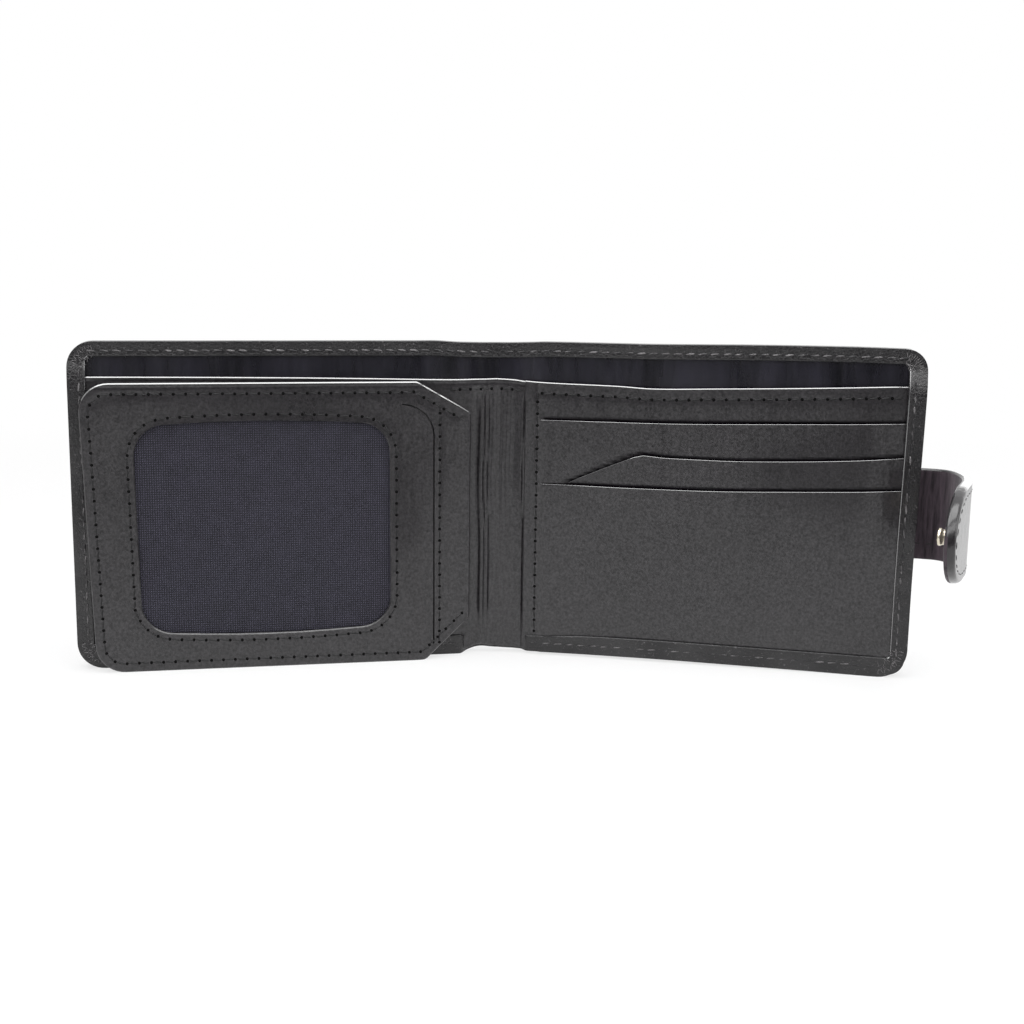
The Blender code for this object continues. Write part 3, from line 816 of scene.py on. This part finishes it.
TOP_SEAM = HEIGHT - 2.4
SIDE_SEAM = WING_LENGTH - 2.9
BOTTOM_SEAM = 3.0
HEM_CHANNEL = 0.13


def hem_dip(u, z):
    """The shallow channel that a seam draws into a hem."""
    seam = min(abs(z - TOP_SEAM), abs(u - SIDE_SEAM), abs(z - BOTTOM_SEAM) if u > 2 else 9)
    return HEM_CHANNEL * bell(seam, 0.8)


def sew_hems(wing, front):
    """The seam round the turned edge, on the hems in front and on the cover behind."""
    top = [(-HALF_SPINE + 1.6, TOP_SEAM), (WING_LENGTH - 4.5, TOP_SEAM)]
    rest = [(3.2, BOTTOM_SEAM), (SIDE_SEAM - 1.6, BOTTOM_SEAM), (SIDE_SEAM, BOTTOM_SEAM + 1.6),
            (SIDE_SEAM, TOP_SEAM - 1.2)]

    def level(u, z):
        return wing.hem_level(u, z) - HEM_CHANNEL if front else COVER_BACK

    sew(
        f"{wing.name}_hem_stitches_{'front' if front else 'back'}", [top, rest], level, wing.settle, "outer_leather",
        front=1 if front else -1, after=wing.bend_over_spine, thread=GLINT_PAINTED_THREAD, shaded_holes=False,
    )


def pleat_corners(wing):
    """The small ridges that gather the turned leather round each outer corner."""
    shape = bmesh.new()
    for radius, low, sign in ((wing.radii[0], 0, -1), (wing.radii[1], HEIGHT, 1)):
        centre = Vector((WING_LENGTH - radius, low - sign * radius))
        for step in range(11):
            turn = math.radians(3 + 8.4 * step)
            ray = Vector((math.cos(turn), sign * math.sin(turn)))
            for reach, half in ((radius - 1.6, 0.75), (radius - 3.4 + 0.9 * math.sin(5 * step), 0.6)):
                spot = centre + ray * reach
                slant = Matrix.Rotation(0.5 * math.sin(3 * step + reach), 2) @ ray
                bead(shape, spot, wing.hem_level(*spot) - 0.02, slant, (half, 0.1, 0.11), 0)
    finish_piece(wing.name + "_corner_pleats", shape, wing.settle, [PLEAT], "outer_leather", [], wing.body, 180)


def make_stiffener(wing):
    outline = rounded([(4, 4, 1), (WING_LENGTH - 4, 4, 1), (WING_LENGTH - 4, HEIGHT - 4, 1), (4, HEIGHT - 4, 1)], 2)
    shape = cut_leather([outline], -2.2, -1.9, 0.1, lines(8, 96, 8), [])
    name = wing.name + "_stiffener"
    finish_piece(name + "_card", shape, wing.settle, [CARD, CARD], "card_stiffener", [name], wing.body)


# The divider, seen over the pockets and between the folds

# Each crease's place across the spine, its reach and its depth.
CREASES = (
    (-3.3, 0.45, 0.44), (-2.1, 0.4, 0.42), (0.2, 0.55, 0.38), (3.9, 0.6, 0.22), (-5.0, 0.95, 0.62), (1.9, 0.4, 0.2),
    (7.5, 0.3, 0.35),
)


def creases(wing, u, z):
    """Upright wrinkles where the divider folds with the spine."""
    across = wing.sign * (u + HALF_SPINE)
    fade = (1 - ease(u, 1, 4)) * (1 - 0.9 * ease(z, 72.5, 75))
    wander = 0.5 * math.sin(z / 11) + 0.3 * math.sin(z / 4.7 + 1)
    return -fade * sum(depth * bell(across - place - wander * 0.4, reach) for place, reach, depth in CREASES)


def rim_groove(below_edge):
    """The fine line pressed into the leather below a skived edge."""
    return 0.07 * bell(below_edge - 1.15, 0.3)


DIVIDER_FRONT = 0.1
# The cut of a rim that is pared flat, on the front alone.
SKIVED = {"rounded_sides": [1], "segments": 1}


def make_divider(wing, nodes):
    near = -HALF_SPINE - 2
    outline = pocket_outline(near, [(near, DIVIDER_TOP), (POCKET_FAR, DIVIDER_TOP)])
    us = lines(-6.0, 102, 3.0, *FOLD_LINES)
    zs = lines(3, 72, 3.2, *lines(74.6, 75.8, 0.2))
    shape = cut_leather([outline], -0.6, DIVIDER_FRONT, 0.24, us, zs, ends=[(-HALF_SPINE, True)], **SKIVED)
    for vert in shape.verts:
        u, w, z = vert.co
        vert.co.y += creases(wing, u, z) - rim_groove(DIVIDER_TOP - z)
        vert.co.z += wing.divider_rise(u, z)
    wing.bend_over_spine(finish_piece(wing.name + "_divider_sheet", shape, wing.settle, *INNER, nodes))


def sew_divider(wing, far):
    """The row of stitches under the divider's top edge, where it shows between the wings."""
    run = [(u, along(wing.divider_edge, u) - CARD_TOP_SEAM_DROP) for u in lines(-HALF_SPINE + 1.45, far, 1.5)]
    sew(wing.name + "_divider_stitches", [run], lambda u, z: DIVIDER_FRONT + creases(wing, u, z), wing.settle,
        "inner_leather", pitch=3.1, length=1.9, after=wing.bend_over_spine)


# Card side

CARD_EDGE, SLOT_EDGE = 1.0, 1.35
# The worn edges of the three slots. The middle one starts with its thumb cut.
THUMB_CUT = [(SLOT_EDGE, 47.4), (12.0, 47.5), (12.9, 48.3), (20, 51.6), (27, 54.6), (30.2, 55.9)]
SLOT_ONE = [(SLOT_EDGE, 65.0), (6.2, 65.1), (21.5, 65.1), (42.6, 65.3), (65.9, 66.1), (99.9, 67.4), (103.6, 67.5)]
SLOT_TWO = THUMB_CUT + [
    (32.2, 56.6), (38, 56.2), (44, 56.1), (57.6, 56.1), (75.3, 56.8), (88.4, 57.6), (99.6, 58.5), (103.6, 58.8),
]
SLOT_THREE = [(SLOT_EDGE, 47.8), (6.3, 47.8), (35.4, 47.8), (53.5, 48.0), (75.6, 48.9), (99.1, 50.0), (103.6, 50.2)]
CARD_SEAM = 4.4
CARD_FRONT = 0.8
CARD_TOP = DIVIDER_TOP + 0.2
CARD_TOP_SEAM_DROP = 2.75


def card_dip(u, z):
    """The channels of the card panel's two seams."""
    rise = along(RIGHT.divider_edge, u) - CARD_TOP_SEAM_DROP
    return 0.12 * bell(u - CARD_SEAM, 0.6) + 0.05 * bell(z - rise, 0.6) * ease(u, 3, 5)


def make_card_panel():
    outline = pocket_outline(CARD_EDGE, [(CARD_EDGE, CARD_TOP), (POCKET_FAR, CARD_TOP)])
    us = lines(2, 102, 2.4, 3.6, 4.0, 4.4, 4.8, 5.2)
    zs = lines(3, 71, 2.8, *lines(64.4, 68.8, 0.45), 72, 72.8, 73.6, 74.4, 75.2)
    shape = cut_leather([outline], 0.15, CARD_FRONT, 0.2, us, zs, **SKIVED)
    for vert in shape.verts:
        u, w, z = vert.co
        vert.co.z += RIGHT.divider_rise(u, z)
        vert.co.y -= card_dip(u, vert.co.z) + rim_groove(CARD_TOP - z)
        if w > 0.4:
            vert.co.y += ledge(SLOT_ONE, u, vert.co.z)
    paint_ledge_shade(shape, SLOT_ONE)
    finish_piece("card_panel_leather", shape, RIGHT.settle, *INNER, ["card_panel", "card_margin"], RIGHT.body)


def slot_open(u):
    """0 where a slot is sewn down at the margin and 1 where it stands free."""
    return 0.22 * ease(u, 4.9, 6.6) + 0.78 * ease(u, 6, 30)


def ledge(edge, u, z):
    """How far a panel stands out where the edge of the next slot presses on it, gone just above that edge."""
    if not edge:
        return 0
    return 0.14 * (1 - ease(z - along(edge, u), 0.1, 0.8)) * ease(u, 4.6, 9)


def paint_ledge_shade(shape, edge):
    """Paints shade into the pressed line just above the edge of the next slot, where the slot's mouth casts shade."""
    dye = shape.verts.layers.float.new("dye")
    for vert in shape.verts:
        above = vert.co.z - along(edge, vert.co.x)
        vert[dye] = (1 - ease(above, 0.45, 0.95)) * ease(vert.co.x, 5.2, 6.5) * ease(above, -3, -2)


def make_card_slot(name, top, edge, low, high, node, zs, edge_in_front=None, dull=(0, 0)):
    """A slot cut straight along its top, which is then drawn to the height of its worn edge."""
    outline = pocket_outline(SLOT_EDGE, top)
    us = lines(2, 102, 2.4, 4.4, 5.0, 5.4, 5.8, 6.2, 6.6, 7.4, 8.0, 8.6)
    shape = cut_leather([outline], low, high, 0.06, us, zs, **SKIVED)
    for face in shape.faces:
        u = face.calc_center_median().x
        if u < 5.4 or dull[0] < u < dull[1]:
            face.material_index = 0
    flush = CARD_FRONT + 0.03 * (low - CARD_FRONT)
    for vert in shape.verts:
        u, w, z = vert.co
        share = (w - low) / (high - low)
        belly = 0.25 * ease(z, 30, 60) * math.sin(math.pi * min(max(u / WING_LENGTH, 0), 1))
        drawn = straight(top, u)
        vert.co.z += (along(edge, u) - drawn) * ease(z, drawn - 12, drawn - 0.8)
        lifted = w + belly + ledge(edge_in_front, u, vert.co.z)
        vert.co.y = between(flush - 0.3 + 0.33 * share, lifted, slot_open(u)) - card_dip(u, z) * (1 - slot_open(u))
    if edge_in_front:
        paint_ledge_shade(shape, edge_in_front)
    finish_piece(name, shape, RIGHT.settle, *INNER, [node], RIGHT.body)


def make_card_side():
    make_card_panel()
    make_card_slot("card_slot_one", [(SLOT_EDGE, 65.5), (POCKET_FAR, 65.5)], SLOT_ONE, 1.05, 1.65, "card_slot_top",
                   lines(3, 63, 3.0, *lines(46.8, 60.3, 0.5), 65.2), SLOT_TWO)
    make_card_slot("card_slot_two", THUMB_CUT + [(POCKET_FAR, 56.5)], SLOT_TWO, 1.85, 2.45, "card_slot_middle",
                   lines(3, 54, 3.0, *lines(47.4, 51.4, 0.4), 55.6), SLOT_THREE, dull=(12.3, 29.5))
    make_card_slot("card_slot_three", [(SLOT_EDGE, 48.0), (POCKET_FAR, 48.0)], SLOT_THREE, 2.65, 3.25,
                   "card_slot_front", lines(3, 45, 3.0, 47.7))
    top_run = [(u, along(RIGHT.divider_edge, u) - CARD_TOP_SEAM_DROP) for u in lines(5.5, 99, 4)]
    side_run = [(CARD_SEAM, 6.6), (CARD_SEAM, along(RIGHT.divider_edge, CARD_SEAM) - 2)]
    sew("card_panel_stitches", [top_run, side_run], lambda u, z: CARD_FRONT + 0.05 - card_dip(u, z), RIGHT.settle,
        "inner_leather", RIGHT.body)


# Slip pocket and flap on the left wing

def make_slip_pocket():
    outline = pocket_outline(2.0, [(2, 64.0), (POCKET_FAR, 64.0)])
    shape = cut_leather([outline], 0.2, 0.8, 0.55, lines(4, 102, 3), lines(3, 62, 3))
    finish_piece("slip_pocket_leather", shape, LEFT.settle, *INNER, ["slip_pocket"], LEFT.body)


FLAP_TOP = 75.5
FLAP_CORNERS = [
    (0.4, 11.2, 1.5), (12.8, 0.0, 2.5), (99.0, 0.0, 7.5), (101.7, FLAP_TOP, 7.5), (15.1, FLAP_TOP, 2.0),
    (0.4, 67.1, 1.5),
]
WINDOW_CORNERS = bowed_window(22.3, 88.3, 9.2, 65.6, 8.2, 1.3)
PANE_CORNERS = inset(bowed_window(22.3, 88.3, 9.2, 65.0, 7.8, 0.6, slant=0), -4.0)
FLAP_SEAM_INSET = 2.35
WINDOW_SEAM_INSET = -1.7
FLAP_SIDE_SEAM = 9.0
FLAP_BACK_LEVEL, FLAP_FRONT_LEVEL = 2.0, 4.2
WEAVE_PITCH = 0.6


def slit_outline():
    """The J cut beside the window, where a card slides in behind the leather."""
    line, half, radius, top = 10.6, 0.2, 8.5, 69.5
    centre = Vector((line + radius, top - radius))
    turns = [math.pi - math.pi / 2 * step / 10 for step in range(11)]
    rays = [Vector((math.cos(turn), math.sin(turn))) for turn in turns]
    outer = [centre + ray * (radius + half) for ray in rays]
    inner = [centre + ray * (radius - half) for ray in reversed(rays)]
    return [Vector((line - half, 4.3))] + outer + inner + [Vector((line + half, 4.3))]


def nearest(path, u, z):
    """The distance from a point to a closed path."""
    spot = Vector((u, z))
    best = 1e9
    for a, b in zip(path, path[1:] + path[:1]):
        run = b - a
        share = min(max((spot - a).dot(run) / max(run.length_squared, 1e-9), 0), 1)
        best = min(best, (spot - a - run * share).length)
    return best


SEAM_CORNERS = [(u, z - 0.5 if z > 60 else z, radius) for u, z, radius in FLAP_CORNERS]
FLAP_SEAM = rounded(inset(SEAM_CORNERS, FLAP_SEAM_INSET), 5)
WINDOW_SEAM = rounded(inset(WINDOW_CORNERS, WINDOW_SEAM_INSET), 5)


def flap_dip(u, z):
    """The channels of the flap's seams."""
    edge = min(nearest(FLAP_SEAM, u, z) if u > 3.4 else 9, nearest(WINDOW_SEAM, u, z), abs(u - FLAP_SIDE_SEAM))
    return 0.08 * bell(edge, 0.6)


def flap_place(u, w, z):
    """The flap hangs a little forward at its foot."""
    return LEFT.place(u, w + 1.7 * ease(u, 2, 16) * (1 - ease(z, 0, 62)), z)


def make_flap_leather():
    outline, window = rounded(FLAP_CORNERS, 10), rounded(WINDOW_CORNERS, 10)
    us = lines(1.5, 99.6, 1.4, 8.3, 9.0, 9.7)
    zs = lines(1.4, 73.2, 1.4, *lines(73.8, 75.0, 0.2))
    front = cut_leather([outline, window], 3.25, FLAP_FRONT_LEVEL, 0.28, us, zs, slit=slit_outline(), **SKIVED)
    for face in front.faces:
        middle = face.calc_center_median()
        if nearest(window, middle.x, middle.z) < 0.5:
            face.material_index = 0
    for vert in front.verts:
        if vert.co.y > FLAP_FRONT_LEVEL - 0.3:
            vert.co.y -= flap_dip(vert.co.x, vert.co.z) + rim_groove(FLAP_TOP - vert.co.z)
    finish_piece("flap_front_leather", front, flap_place, *INNER, ["flap_front"], "id_flap")
    back = cut_leather([outline], FLAP_BACK_LEVEL, 3.0, 0.55, lines(4, 99, 4), lines(3, 73, 4))
    finish_piece("flap_back_leather", back, flap_place, *INNER, ["flap_back"], "id_flap")


def make_window_mesh():
    """The woven pane behind the window."""
    shape = cut_leather([rounded(PANE_CORNERS, 6)], 3.05, 3.2, 0.07, lines(20, 92, 4), lines(7, 68, 4))
    weave = shape.loops.layers.uv.new("weave")
    for face in shape.faces:
        for loop in face.loops:
            loop[weave].uv = (loop.vert.co.x / WEAVE_PITCH, loop.vert.co.z / WEAVE_PITCH)
    pane = finish_piece("window_mesh_pane", shape, flap_place, [WEAVE, WEAVE], "woven_mesh", ["window_mesh"], "id_flap")


def sew_flap():
    fold_side = max(range(len(FLAP_SEAM)), key=lambda index: -FLAP_SEAM[index].x - 0.01 * FLAP_SEAM[index].y)
    ordered = FLAP_SEAM[fold_side:] + FLAP_SEAM[:fold_side]
    side = [(FLAP_SIDE_SEAM, 4.6), (FLAP_SIDE_SEAM, 70.2)]
    sew("flap_stitches", [ordered, side, WINDOW_SEAM + WINDOW_SEAM[:1]], lambda u, z: FLAP_FRONT_LEVEL - 0.08,
        flap_place, "inner_leather", "id_flap", pitch=3.1, length=2.2)


def make_flap_hinge():
    """The strip sewn to the wing, which turns back on itself at the fold and carries the flap."""
    low, high = 11.8, 66.6
    reach, middle, half, turn_reach = 8.0, 1.75, 0.55, 1.2
    shape = cut_leather([rounded([(-reach, low, 0), (reach, low, 0), (reach, high, 0), (-reach, high, 0)])],
                        -0.25, 0.25, 0.25, lines(-7, 7, 1, *lines(-2, 2, 0.25)), lines(15, 64, 6))
    for vert in shape.verts:
        s, d, z = vert.co
        turn = math.pi * ease(s, -turn_reach, turn_reach)
        across = 1.1 - math.sin(turn) * (half + d) if abs(s) < turn_reach else abs(s) - 0.1
        vert.co.x = max(across, 0.15)
        vert.co.y = middle - math.cos(turn) * (half + d)
    strip = finish_piece("flap_hinge_leather", shape, flap_place, *INNER, ["flap_hinge_strip"])
    LEFT.place(4, middle - 0.5, 0)
    LEFT.place(4, middle + 0.5, 0)
    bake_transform(strip)


# Strap and snap

STRAP_BOTTOM, STRAP_TOP, STRAP_CENTRE = 31.1, 55.3, 43.2
BAND_LENGTH, BEND_LENGTH, TAB_LENGTH = 7.2, 17.0, 24.0
STRAP_JOINTS = (0.0, BAND_LENGTH, BAND_LENGTH + BEND_LENGTH)
STRAP_END = BAND_LENGTH + BEND_LENGTH + TAB_LENGTH
PATCH = 18.0
LINING_TOP = 0.95
ROUND_END = 18.5
OUTER_SEAM_INSET, INNER_SEAM_INSET = 2.4, 4.3


def leather_top(s):
    """The strap is thicker over the core of its tab."""
    return between(2.1, 2.75, ease(s, 13, 21))


# How far along the strap each bend lies, how far it turns in degrees, and its radius.
STRAP_BENDS = ((0.0, 8, 22.0), (6.2, 46, 5.0), (10.4, 24, 9.0), (15.4, 17, 18.0), (22.9, 9, 35.0))


STRAP_START = Vector((105.593, 11.162))


def towards(heading):
    return Vector((math.cos(heading), math.sin(heading)))


def outwards(heading):
    return Vector((-math.sin(heading), math.cos(heading)))


def strap_corners():
    """Each bend's place along the strap, its radius, its corner in the world and the headings around it."""
    heading, spot = -RIGHT.opening, STRAP_START
    corners, done = [], 0.0
    for place, turn, radius in STRAP_BENDS:
        spot = spot + towards(heading) * (place - done)
        corners.append((place, radius, spot, heading, heading - math.radians(turn)))
        heading -= math.radians(turn)
        done = place
    return corners


STRAP_CORNERS = strap_corners()


EDGE_ROOM = 0.65


def edge_room(s):
    """The strap stands out a little where it folds round the wing's edge."""
    return EDGE_ROOM * ease(s, -2, 1.5) * (1 - ease(s, 6, 12))


def strap_place(s, d, z):
    """A point of the strap: s along it from its first joint, d outwards from its inner face."""
    for place, radius, corner, before, after in STRAP_CORNERS:
        reach = radius * math.tan((before - after) / 2)
        if s <= place + reach or place == STRAP_CORNERS[-1][0]:
            if abs(s - place) > reach:
                heading = before if s < place else after
                spot = corner + towards(heading) * (s - place)
            else:
                heading = between(before, after, (s - place + reach) / (2 * reach))
                centre = corner - towards(before) * reach - outwards(before) * radius
                spot = centre + outwards(heading) * radius
            flat = spot + outwards(heading) * (d + edge_room(s))
            return Vector((flat.x, flat.y, z)) * MM


STRAP_CUTS = (3.6, 15.7)
# Each length of the strap: where it starts and ends, the bodies that it joins, their joint, the reach of its bend,
# and the nodes that it replaces.
STRAP_PARTS = (
    ("root", None, STRAP_CUTS[0], RIGHT.body, "strap_band", STRAP_JOINTS[0], 2.6,
     ["strap_root_lining", "strap_band_lining"], ["strap_root_leather", "strap_band_leather"]),
    ("bend", STRAP_CUTS[0], STRAP_CUTS[1], "strap_band", "strap_bend", STRAP_JOINTS[1], 2.2,
     ["strap_bend_lining"], ["strap_bend_leather"]),
    ("tab", STRAP_CUTS[1], None, "strap_bend", "strap_tab", STRAP_JOINTS[2], 5.0, ["tab_lining"], ["tab_leather"]),
)


def strap_outline(inset_by=0.0):
    """The strap laid flat, with a long round end."""
    half = (STRAP_TOP - STRAP_BOTTOM) / 2 - inset_by
    reach, near = ROUND_END - inset_by, -PATCH + inset_by
    turns = [math.pi * (step / 32 - 0.5) for step in range(33)]
    start = STRAP_END - ROUND_END
    end = [Vector((start + reach * math.cos(turn), STRAP_CENTRE + half * math.sin(turn))) for turn in turns]
    return [Vector((near, STRAP_CENTRE - half))] + end + [Vector((near, STRAP_CENTRE + half))]


def make_strap_part(label, start, end, first, second, joint, reach, lining_nodes, leather_nodes):
    def place_piece(name, shape, materials, slot, nodes, sharp=35):
        obj = finish_piece(f"strap_{label}_{name}", shape, strap_place, materials, slot, nodes, sharp=sharp)
        strap_place(joint - reach, 0, 0)
        strap_place(joint + reach, 0, 0)
        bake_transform(obj)

    ends = [(place, above) for place, above in ((start, True), (end, False)) if place is not None]
    us = lines(-17, 3, 1.0, *lines(3, 27, 0.5), *lines(28, 47, 1.0))
    for name, low, high, rim, side, material, slot, nodes in (
        ("suede", 0.0, LINING_TOP, 0.7, -1, SUEDE, "suede_lining", lining_nodes),
        ("gloss", LINING_TOP - 0.02, 1.0, 0.9, 1, POLISHED, "outer_leather", leather_nodes),
    ):
        shape = cut_leather([strap_outline()], low, high, rim, us, lines(33, 54, 3), ends=ends, rounded_sides=[side])
        if name == "gloss":
            for vert in shape.verts:
                share = (vert.co.y - low) / (high - low)
                vert.co.y = between(low, leather_top(vert.co.x), share)
        place_piece(name, shape, [material, POLISHED], slot, nodes)
    shape = bmesh.new()
    for seam, outside in ((strap_outline(OUTER_SEAM_INSET), True), (strap_outline(INNER_SEAM_INSET), False)):
        for spot, heading in walk(seam + seam[:1], STITCH_PITCH):
            in_part = (start is None or spot.x > start) and (end is None or spot.x <= end)
            sewn_inside = spot.x > 0 and (spot.y < STRAP_CENTRE or spot.x > STRAP_CUTS[1])
            if in_part and (outside or sewn_inside):
                level = leather_top(spot.x) - 0.02 if outside else 0.0
                bead(shape, spot, level, heading, (0.95, 0.16, 0.15), 0)
    place_piece("stitches", shape, [THREAD], "outer_leather", [], 180)


def turned_metal(name, profile, place, body, node):
    """A round snap piece, spun from (radius, height) points about an axis square to the leather."""
    shape = bmesh.new()
    spots = [shape.verts.new((radius, height, 0)) for radius, height in profile]
    edges = [shape.edges.new(pair) for pair in zip(spots, spots[1:])]
    bmesh.ops.spin(
        shape, geom=spots + edges, cent=(0, 0, 0), axis=(0, 1, 0), angle=2 * math.pi, steps=48, use_merge=True
    )
    bmesh.ops.remove_doubles(shape, verts=shape.verts, dist=0.001)
    finish_piece(name, shape, place, [NICKEL], "snap_metal", [node], body, sharp=30)


# The snap's outlines as (radius, height) points, and how far along the wing or the tab each half sits.
STUD_AT, SOCKET_AT = STRAP_JOINTS[2] + 12.2, 92.6
STUD_PROFILE = [
    (0, 1.9), (1.0, 1.9), (1.45, 2.1), (1.6, 2.5), (1.62, 2.85), (1.75, 3.0), (1.95, 2.98), (2.15, 2.75), (2.2, 2.45),
    (2.15, 2.1), (1.95, 1.8), (1.88, 1.2), (2.1, 0.9), (3.1, 0.82), (3.35, 0.65), (3.4, 0.4), (3.3, 0.0), (0, 0.0),
]
SOCKET_PROFILE = [
    (0, 0.6), (2.2, 0.6), (2.42, 0.8), (2.45, 1.9), (2.6, 2.2), (2.9, 2.3), (3.3, 2.22), (3.5, 2.0), (3.9, 1.95),
    (4.5, 2.0), (4.85, 1.8), (5.0, 1.4), (5.0, 0.5), (4.9, 0.0), (0, 0.0),
]


def make_snaps():
    turned_metal("stud_metal", STUD_PROFILE, lambda x, y, z: strap_place(STUD_AT + x, -y, STRAP_CENTRE + z),
                 "strap_tab", "snap_stud")
    turned_metal("socket_metal", SOCKET_PROFILE,
                 lambda x, y, z: LEFT.place(SOCKET_AT + x, COVER_BACK - y, STRAP_CENTRE + z), LEFT.body, "snap_socket")


# Camera, floor and light

# Solved from the wings' outlines in the photo.
CAMERA_PLACE = Vector((-8.055, -373.234, 115.5)) * MM
PITCH, YAW, ROLL = (math.radians(angle) for angle in (10.72, 1.17, 0.79))


def make_camera():
    camera = bpy.data.cameras.new("photo view")
    camera.lens = 52.73
    camera.sensor_width = 36
    camera.clip_start = 0.01
    forward = Vector((math.sin(YAW) * math.cos(PITCH), math.cos(YAW) * math.cos(PITCH), -math.sin(PITCH)))
    level = Vector((math.cos(YAW), -math.sin(YAW), 0))
    up = level.cross(forward)
    right = level * math.cos(ROLL) + up * math.sin(ROLL)
    top = -level * math.sin(ROLL) + up * math.cos(ROLL)
    obj = add_to_scene("photo view", camera)
    obj.matrix_world = Matrix.Translation(CAMERA_PLACE) @ Matrix((right, top, -forward)).transposed().to_4x4()
    bpy.context.scene.camera = obj


TABLE_EDGE, TABLE_REACH = -0.6, 3.0
# A painted dark reflection on the table, in front of the right wing, which only mirrors see, standing in for something
# dark in the room: its middle and its half widths.
DARK_MIDDLE, DARK_SIZE = (0.035, -0.38), (0.075, 0.2)


def make_floor():
    """A white table that keeps a soft part of the shadow. It ends in front, where the room is darker."""
    shape = bmesh.new()
    middle = Matrix.Translation((0, (TABLE_REACH + TABLE_EDGE) / 2, 0))
    half = Matrix.Diagonal((TABLE_REACH, (TABLE_REACH - TABLE_EDGE) / 2, 1, 1))
    bmesh.ops.create_grid(shape, x_segments=2, y_segments=2, size=1, matrix=middle @ half)
    finish = Finish("white table")
    speckle = finish.noise(400, 2)
    shader = finish.set(
        Base_Color=finish.mix(speckle, (0.80, 0.80, 0.80), (0.84, 0.84, 0.84)), Roughness=0.6 + speckle * 0.1
    )
    camera, glass, mirror = finish.seen_rays()
    far = finish.node("ShaderNodeVectorMath", {"operation": "LENGTH"}, {0: finish.object_place}, 1)
    (x, y), (wide, deep) = DARK_MIDDLE, DARK_SIZE
    offset = finish.node("ShaderNodeVectorMath", {"operation": "MULTIPLY_ADD"},
                         {0: finish.object_place, 1: (1 / wide, 1 / deep, 1), 2: (-x / wide, -y / deep, 0)})
    patch = finish.node("ShaderNodeVectorMath", {"operation": "LENGTH"}, {0: offset}, 1)
    plain = 0.72 + far.within(0.2, 0.55) * 0.28
    outside = patch.within(0.75, 1.1)
    share = (camera + glass).within(0, 1) * plain + mirror * plain * outside
    glow = finish.node("ShaderNodeEmission", {}, {})
    surface = Value(finish, finish.shader.outputs[0])
    # Painted reflection: inside the patch, mirror rays see a dark glow in place of the lit table.
    shade = finish.node("ShaderNodeEmission", {}, {"Color": (0.04, 0.036, 0.04, 1)})
    shaded = finish.node("ShaderNodeMixShader", {}, {0: mirror * (1 - outside), 1: surface, 2: shade})
    mixed = finish.node("ShaderNodeMixShader", {}, {0: share, 1: shaded, 2: glow})
    finish.feed(finish.tree.nodes["Material Output"].inputs["Surface"], mixed)
    add_to_scene("floor", mesh_of("floor", shape, shader))


def make_world():
    """White for the camera and behind the wallet, and a darker room low down in front."""
    world = bpy.data.worlds.new("studio")
    world.use_nodes = True
    bpy.context.scene.world = world
    nodes = Nodes(world.node_tree)
    nodes.tree.nodes.clear()
    camera, glass, mirror = nodes.seen_rays()
    across, back, up = nodes.parts(nodes.node("ShaderNodeTexCoord", {}, {}, "Generated"))
    open_side = (back.within(-0.35, 0.05) + up.within(0.28, 0.55)).within(0, 1)
    studio = nodes.node("ShaderNodeBackground", {}, {"Color": (0.60, 0.60, 0.62, 1), "Strength": 0.5})
    room = nodes.node("ShaderNodeBackground", {}, {"Color": (0.20, 0.19, 0.20, 1), "Strength": 0.45})
    white = nodes.node("ShaderNodeBackground", {}, {"Color": (1, 1, 1, 1), "Strength": 1.0})
    lit = nodes.node("ShaderNodeMixShader", {}, {0: mirror, 1: studio, 2: room})
    share = (camera + glass + mirror * open_side).within(0, 1)
    mixed = nodes.node("ShaderNodeMixShader", {}, {0: share, 1: lit, 2: white})
    nodes.node("ShaderNodeOutputWorld", {}, {"Surface": mixed})


def make_lamp(name, place, aim, size, power):
    lamp = bpy.data.lights.new(name, "AREA")
    lamp.shape = "RECTANGLE"
    lamp.size, lamp.size_y = size
    lamp.energy = power
    obj = add_to_scene(name, lamp)
    obj.location = place
    obj.rotation_euler = (Vector(aim) - Vector(place)).to_track_quat("-Z", "Y").to_euler()


def make_lights():
    make_lamp("overhead", (0, -0.05, 0.8), (0, 0.03, 0.04), (1.2, 0.5), 7.5)
    make_lamp("upper front", (0, -0.5, 0.62), (0, 0, 0.04), (1.2, 0.25), 2.8)
    make_lamp("front left", (-0.7, -0.7, 0.5), (0, 0, 0.04), (0.5, 0.7), 1.5)
    make_lamp("right", (0.8, -0.3, 0.35), (0.05, 0, 0.04), (0.4, 0.5), 1.5)
    make_lamp("back right", (0.75, 1.1, 0.25), (0.05, 0, 0.04), (0.6, 0.6), 2.0)


make_camera()
make_floor()
make_world()
make_lights()

SPINE_NODES = ["spine_cover", "spine_note_lining", "spine_top_hem"]
make_shell(LEFT, SPINE_NODES + ["left_cover", "left_note_lining", "left_top_hem", "left_side_hem", "left_bottom_hem"])
make_shell(RIGHT, ["right_cover", "right_note_lining", "right_top_hem", "right_side_hem", "right_bottom_hem"])
for wing in (LEFT, RIGHT):
    sew_hems(wing, True)
    sew_hems(wing, False)
    pleat_corners(wing)
    make_stiffener(wing)
make_divider(LEFT, ["spine_divider", "left_divider"])
make_divider(RIGHT, ["right_divider"])
sew_divider(LEFT, 6)
sew_divider(RIGHT, 0.4)
make_card_side()
make_slip_pocket()
make_flap_leather()
make_window_mesh()
sew_flap()
make_flap_hinge()
for part in STRAP_PARTS:
    make_strap_part(*part)
make_snaps()
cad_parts["tab_core"].data.materials.clear()
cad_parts["tab_core"].data.materials.append(CARD)

bpy.context.scene.view_settings.view_transform = "Standard"
